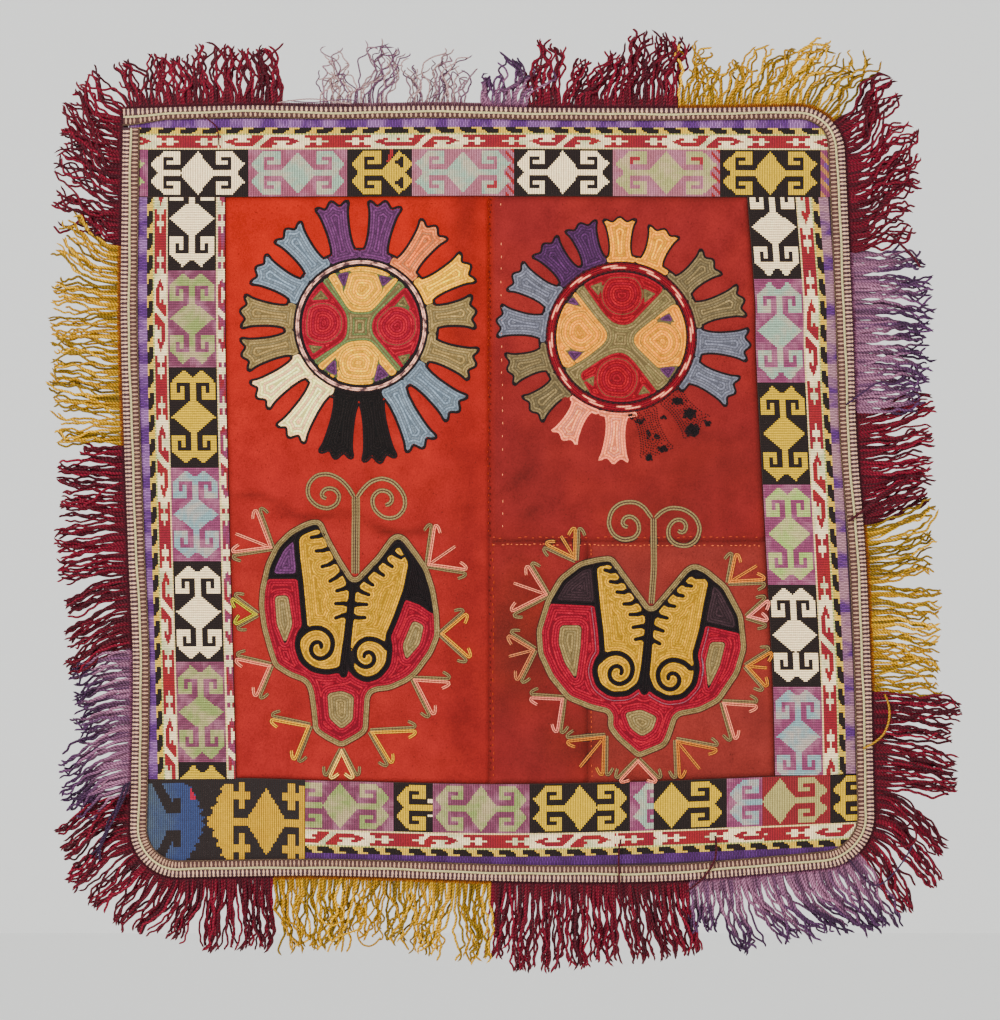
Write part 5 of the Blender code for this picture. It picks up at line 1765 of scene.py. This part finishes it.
# Single cords out of place: fringe they belong to, their line (x, z), their radius
STRAYS = (
    ("crimson_top_left", ((-199, -6), (-192, -11), (-188.3, -15), (-187.8, -27)), 0.5),
    ("crimson_bottom", ((93, -511), (91, -520), (91.5, -535), (92.5, -556)), 0.6),
    ("faded_top", ((-147, 3.0), (-132, 5.4), (-120, 5.8), (-108, 4.0), (-96, 2.4)), 0.45),
    ("faded_top", ((-140, 4.6), (-128, 3.2), (-116, 3.4), (-104, 5.6), (-92, 4.6)), 0.4),
    ("violet_bottom", ((252, -525), (262, -539), (271, -546), (283, -536), (292, -524), (297, -514)), 0.6),
    ("yellow_right", ((277, -410), (281, -419), (279.5, -434), (272, -443), (262, -448)), 0.7),
    ("crimson_bottom", ((158.5, -509), (160.3, -520), (156, -532), (147, -542), (138, -548)), 0.75),
    ("crimson_low_right", ((276, -478), (290, -481), (299, -489), (297, -500), (287, -505),
     (284, -497)), 0.75),
    ("crimson_low_right", ((278, -492), (292, -496), (301, -507), (296, -517), (286, -516)), 0.75),
    ("crimson_top_right", ((282, -90), (289, -97), (297, -104), (302, -112)), 0.9),
    ("violet_left", ((-250, -471), (-255, -485), (-263, -500), (-268, -512), (-274, -524)), 0.8),
    ("violet_left", ((-252, -472), (-258, -484), (-261, -499), (-271, -511), (-271, -526)), 0.8),
    ("violet_left", ((-254, -473), (-257, -487), (-266, -498), (-268, -514), (-277, -522)), 0.8),
    ("violet_right", ((250, -208), (262, -199), (275, -190), (282, -196), (291, -188)), 0.7),
    ("crimson_right", ((252, -289), (262, -282), (275, -270), (288, -264), (294, -258)), 0.9),
    ("yellow_bottom", ((-118, -549), (-121, -560), (-114, -572), (-103, -571), (-99, -561),
     (-106, -556)), 0.65),
    ("yellow_bottom", ((-92, -549), (-84, -558), (-86, -572), (-97, -577), (-108, -580),
     (-112, -590)), 0.65),
    ("yellow_bottom", ((-76, -548), (-79, -562), (-90, -570), (-92, -582), (-82, -588), (-75, -580)), 0.65),
)


def tube(centres, radii, tints):
    """Points, faces, uvs and tints of tubes: centres (cords, steps, 3), radii (cords, steps)."""
    cords, steps, _ = centres.shape
    tangent = np.gradient(centres, axis=1)
    tangent /= np.maximum(np.linalg.norm(tangent, axis=2), 1e-9)[..., None]
    side = np.cross(tangent, np.array((0.0, -1.0, 0.0)))
    side /= np.maximum(np.linalg.norm(side, axis=2), 1e-9)[..., None]
    up = np.cross(side, tangent)
    lengths = np.linalg.norm(np.diff(centres, axis=1), axis=2)
    run = np.concatenate((np.zeros((cords, 1)), np.cumsum(lengths, axis=1)), axis=1)
    around = np.linspace(0, 2 * math.pi, CORD_SIDES + 1)
    ring = (side[:, :, None, :] * np.cos(around)[None, None, :, None]
            + up[:, :, None, :] * np.sin(around)[None, None, :, None])
    points = centres[:, :, None, :] + ring * radii[..., None, None]
    sides = CORD_SIDES + 1
    u = np.repeat(run[..., None] / TWIST_LENGTH + dice.random((cords, 1, 1)), sides, axis=2)
    v = np.broadcast_to(around / (2 * math.pi), u.shape)
    faces = grid_faces(steps, sides)[:, ::-1]
    faces = (faces[None] + (np.arange(cords) * steps * sides)[:, None, None]).reshape(-1, 4)
    uvs = np.stack((u, v), axis=-1).reshape(-1, 2)
    return points.reshape(-1, 3), faces, uvs, np.repeat(tints, sides, axis=1).reshape(-1, 3)


def clump_cords(start, width, reach, drift, silk, tangle):
    """Centre lines of the cords of one clump, drawn together towards its tip; a tangle of 1 is orderly."""
    count = max(2, round(width / silk["pitch"]))
    edge, normal = edge_at(start + width / 2, -HEADING_REACH)
    clockwise = np.array((normal[1], -normal[0]))
    tip_middle = edge + normal * (reach - HEADING_REACH) + clockwise * drift
    run = tip_middle - edge
    length = np.linalg.norm(run)
    out = run / length
    sideways = np.array((out[1], -out[0]))
    places = (np.arange(count) - (count - 1) / 2) * 0.9 + dice.normal(0, 1.1 * tangle, count)
    t = np.linspace(0, 1, CORD_STEPS)
    centres = np.zeros((count, CORD_STEPS, 3))
    clump_wave = dice.uniform(0, 2 * math.pi)
    for i in range(count):
        root, root_normal = edge_at(start + (i + 0.5) * width / count + dice.normal(0, 0.2),
                                    -HEADING_REACH + 0.8)
        short = abs(dice.normal(0, 0.07 * tangle))
        tip = tip_middle + sideways * places[i] * silk["tip"] - out * length * short
        if dice.random() < 0.1:
            tip = tip + sideways * dice.normal(0, 7.0) - out * length * dice.uniform(0, 0.2)
        far = np.linalg.norm(tip - root)
        line = bezier(root, root + root_normal * dice.uniform(0.25, 0.5) * far,
                      tip - (out + sideways * dice.normal(0, 0.3)) * far * dice.uniform(0.2, 0.45), tip, t)
        across = np.array((-(tip - root)[1], (tip - root)[0])) / far
        phase = dice.uniform(0, 2 * math.pi, 4)
        grow = np.minimum(1, 3 * t) * (0.55 + 0.75 * t)
        sway = np.sin(far * t / dice.uniform(3.6, 5.0) + phase[0]) * dice.uniform(0.3, 1.1)
        sway += np.sin(far * t / dice.uniform(1.7, 2.3) + phase[1]) * 0.42
        sway += np.sin(far * t / dice.uniform(0.95, 1.3) + phase[2]) * 0.2
        own_wave = dice.normal(0, 0.5) * tangle
        sway = sway * tangle + 0.8 * tangle ** 2 * np.sin(far * t / 6.5 + clump_wave + own_wave)
        sway += (tangle - 1) * 4.0 * np.sin(far * t / dice.uniform(5.0, 9.0) + dice.uniform(0, 6)) * t
        late = np.clip(t - 0.74, 0, 1) / 0.26
        turn = dice.normal(0, 1.0) * 3.4 * late
        curl = silk["curl"] * late[:, None] * np.stack((np.sin(turn), 0.6 * np.cos(turn) - 0.6), axis=1)
        line = line + across * (sway * grow * silk["kink"])[:, None]
        line = line + across * curl[:, :1] + out * curl[:, 1:]
        ease = 1 - (1 - np.minimum(t * 1.8, 1)) ** 2
        layer = dice.uniform(-3.6, 2.6)
        layer = layer + 0.9 * np.sin(far * t / 3.4 + phase[3])
        depth = cloth_depth(root[0], root[1]) * (1 - ease) + layer * ease
        centres[i] = np.stack((line[:, 0], depth, line[:, 1]), axis=1)
    return centres


def cord_tints(colour, silk, count):
    """Colours along the cords of a clump; the violet silk is dyed from pale to dark, and each cord has
    painted shade near its root.
    """
    tones = np.array([tone(shade) for shade in silk["tones"]])
    picked = tones[dice.integers(0, len(tones), count)] * dice.normal(1.0, 0.12, (count, 1))
    tints = np.repeat(picked[:, None, :], CORD_STEPS, axis=1)
    t = np.linspace(0, 1, CORD_STEPS)
    if colour == "violet":
        turn = dice.uniform(0.3, 0.72, (count, 1))
        pale = 1 / (1 + np.exp((t[None] - turn) * 11))
        tints = mixed(tints, tone(PALE_LILAC) * dice.normal(0.85, 0.12, (count, 1))[:, None],
                      pale * dice.choice((0.25, 0.6, 0.9), (count, 1)))
    # Darker towards the roots: painted shade where the cords crowd out of the heading.
    return tints * (0.7 + 0.3 * np.minimum(1, 5 * t))[None, :, None]


def stray_cord(line, radius):
    """Centre line of a single cord in front of the others."""
    line = resampled(rounded(line, 6.0, False), 1.0)
    share = np.linspace(0, 1, CORD_STEPS)
    places = np.stack([np.interp(share, np.linspace(0, 1, len(line)), line[:, axis]) for axis in (0, 1)],
                      axis=1)
    depth = np.full(CORD_STEPS, -4.4 - radius)
    return np.stack((places[:, 0], depth, places[:, 1]), axis=1)


def make_heading(batch, start, end, silk):
    """Strip of small slanting stitches from which the cords come."""
    dark, light = (tone(colour) for colour in silk["heading"])
    for place in np.arange(start + 0.4, end - 0.4, 1.25):
        for lean in (0.5, -0.5):
            s = np.array((place - lean, place, place + lean))
            line = edge_at(s, np.array((0.4, -1.4, -3.1)))[0]
            colour = mixed(dark, light, dice.random() * (0.9 if lean > 0 else 0.3))
            batch.ribbon(line, colour, 0.95, 0.7, step=1.5)


def make_fringe():
    share = np.linspace(0, 1, CORD_STEPS)
    taper = np.where(share > 0.985, 0.15, 1.0) * (1 - 0.2 * share ** 3)
    start = FRINGE_START
    for name, clumps in FRINGE:
        colour = name.split("_")[0]
        silk = SILKS[colour]
        tangle = 1.7 if "top" in name else 1.4 if name == "yellow_bottom" else 1.0
        end = start + sum(clump[0] for clump in clumps)
        batch = Batch(0.5)
        make_heading(batch, start, end, silk)
        stations = np.append(np.arange(start, end, 5.0), end)
        s, inset = np.meshgrid(stations, (HEADING_REACH * 1.3, 0.5, -HEADING_REACH + 0.2), indexing="ij")
        strip = in_front(edge_at(s.ravel(), inset.ravel())[0], HEADING_FRONT)
        strip = np.vstack((strip, strip + np.array((0, 2 * HEADING_FRONT, 0))))
        dark = np.tile(tone(silk["heading"][0]) * 0.7, (len(strip), 1))
        batch.add(strip, sheet_faces(len(stations), 3), np.zeros((len(strip), 2)), dark)
        for width, reach, drift in clumps:
            if reach > 0:
                centres = clump_cords(start, width, reach, drift, silk, tangle)
                size = silk["radius"] * dice.normal(1.0, 0.08, (len(centres), 1))
                batch.add(*tube(centres, size * taper, cord_tints(colour, silk, len(centres))))
            start += width
        for owner, line, radius in STRAYS:
            if owner == name:
                centres = stray_cord(line, radius)[None]
                batch.add(*tube(centres, np.full((1, CORD_STEPS), radius), cord_tints("crimson", silk, 1)))
        piece = batch.finish("silk_fringe_" + name, SILK)
        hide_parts("fringe_" + name)


# Stage, lights and camera


def make_stage():
    pale = plain_material("stage", (226, 224, 220), 0.9)
    bpy.ops.mesh.primitive_plane_add(size=14.0, location=(0.0, 0.0, -1.25))
    floor = bpy.context.object
    floor.name = "floor"
    bpy.ops.mesh.primitive_plane_add(size=14.0, location=(0.0, 4.5, 0.0), rotation=(math.pi / 2, 0.0, 0.0))
    backdrop = bpy.context.object
    backdrop.name = "backdrop"
    for thing in (floor, backdrop):
        thing.data.materials.append(pale)
    world = bpy.data.worlds.new("studio")
    bpy.context.scene.world = world
    world.use_nodes = True
    world.node_tree.nodes["Background"].inputs["Color"].default_value = (0.97, 0.98, 1.0, 1.0)
    world.node_tree.nodes["Background"].inputs["Strength"].default_value = 0.94
    for name, place, size, energy in (("key", (-1.5, -2.2, 1.2), 0.8, 110.0),
                                      ("fill", (1.8, -2.4, -0.2), 1.6, 39.0)):
        data = bpy.data.lights.new(name, "AREA")
        data.size = size
        data.energy = energy
        lamp = bpy.data.objects.new(name, data)
        bpy.context.scene.collection.objects.link(lamp)
        lamp.location = place
        aim = np.array((0.0, 0.0, -0.28)) - np.array(place)
        lamp.rotation_mode = "QUATERNION"
        lamp.rotation_quaternion = Vector(aim).to_track_quat("-Z", "Y")


def make_camera():
    data = bpy.data.cameras.new("camera")
    data.lens = 100.0
    data.sensor_width = 36.0
    camera = bpy.data.objects.new("camera", data)
    bpy.context.scene.collection.objects.link(camera)
    camera.location = (0.0084, -1.9833, -0.2814)
    camera.rotation_euler = (math.pi / 2, 0.0, 0.0)
    bpy.context.scene.camera = camera


make_ground()
make_borders()
make_sun("embroidery_left_sun", LEFT_SUN)
make_sun("embroidery_right_sun", RIGHT_SUN)
make_heart("embroidery_left_heart", LEFT_HEART)
make_heart("embroidery_right_heart", RIGHT_HEART)
make_seam_stitches()
make_braid()
make_fringe()
make_stage()
make_camera()
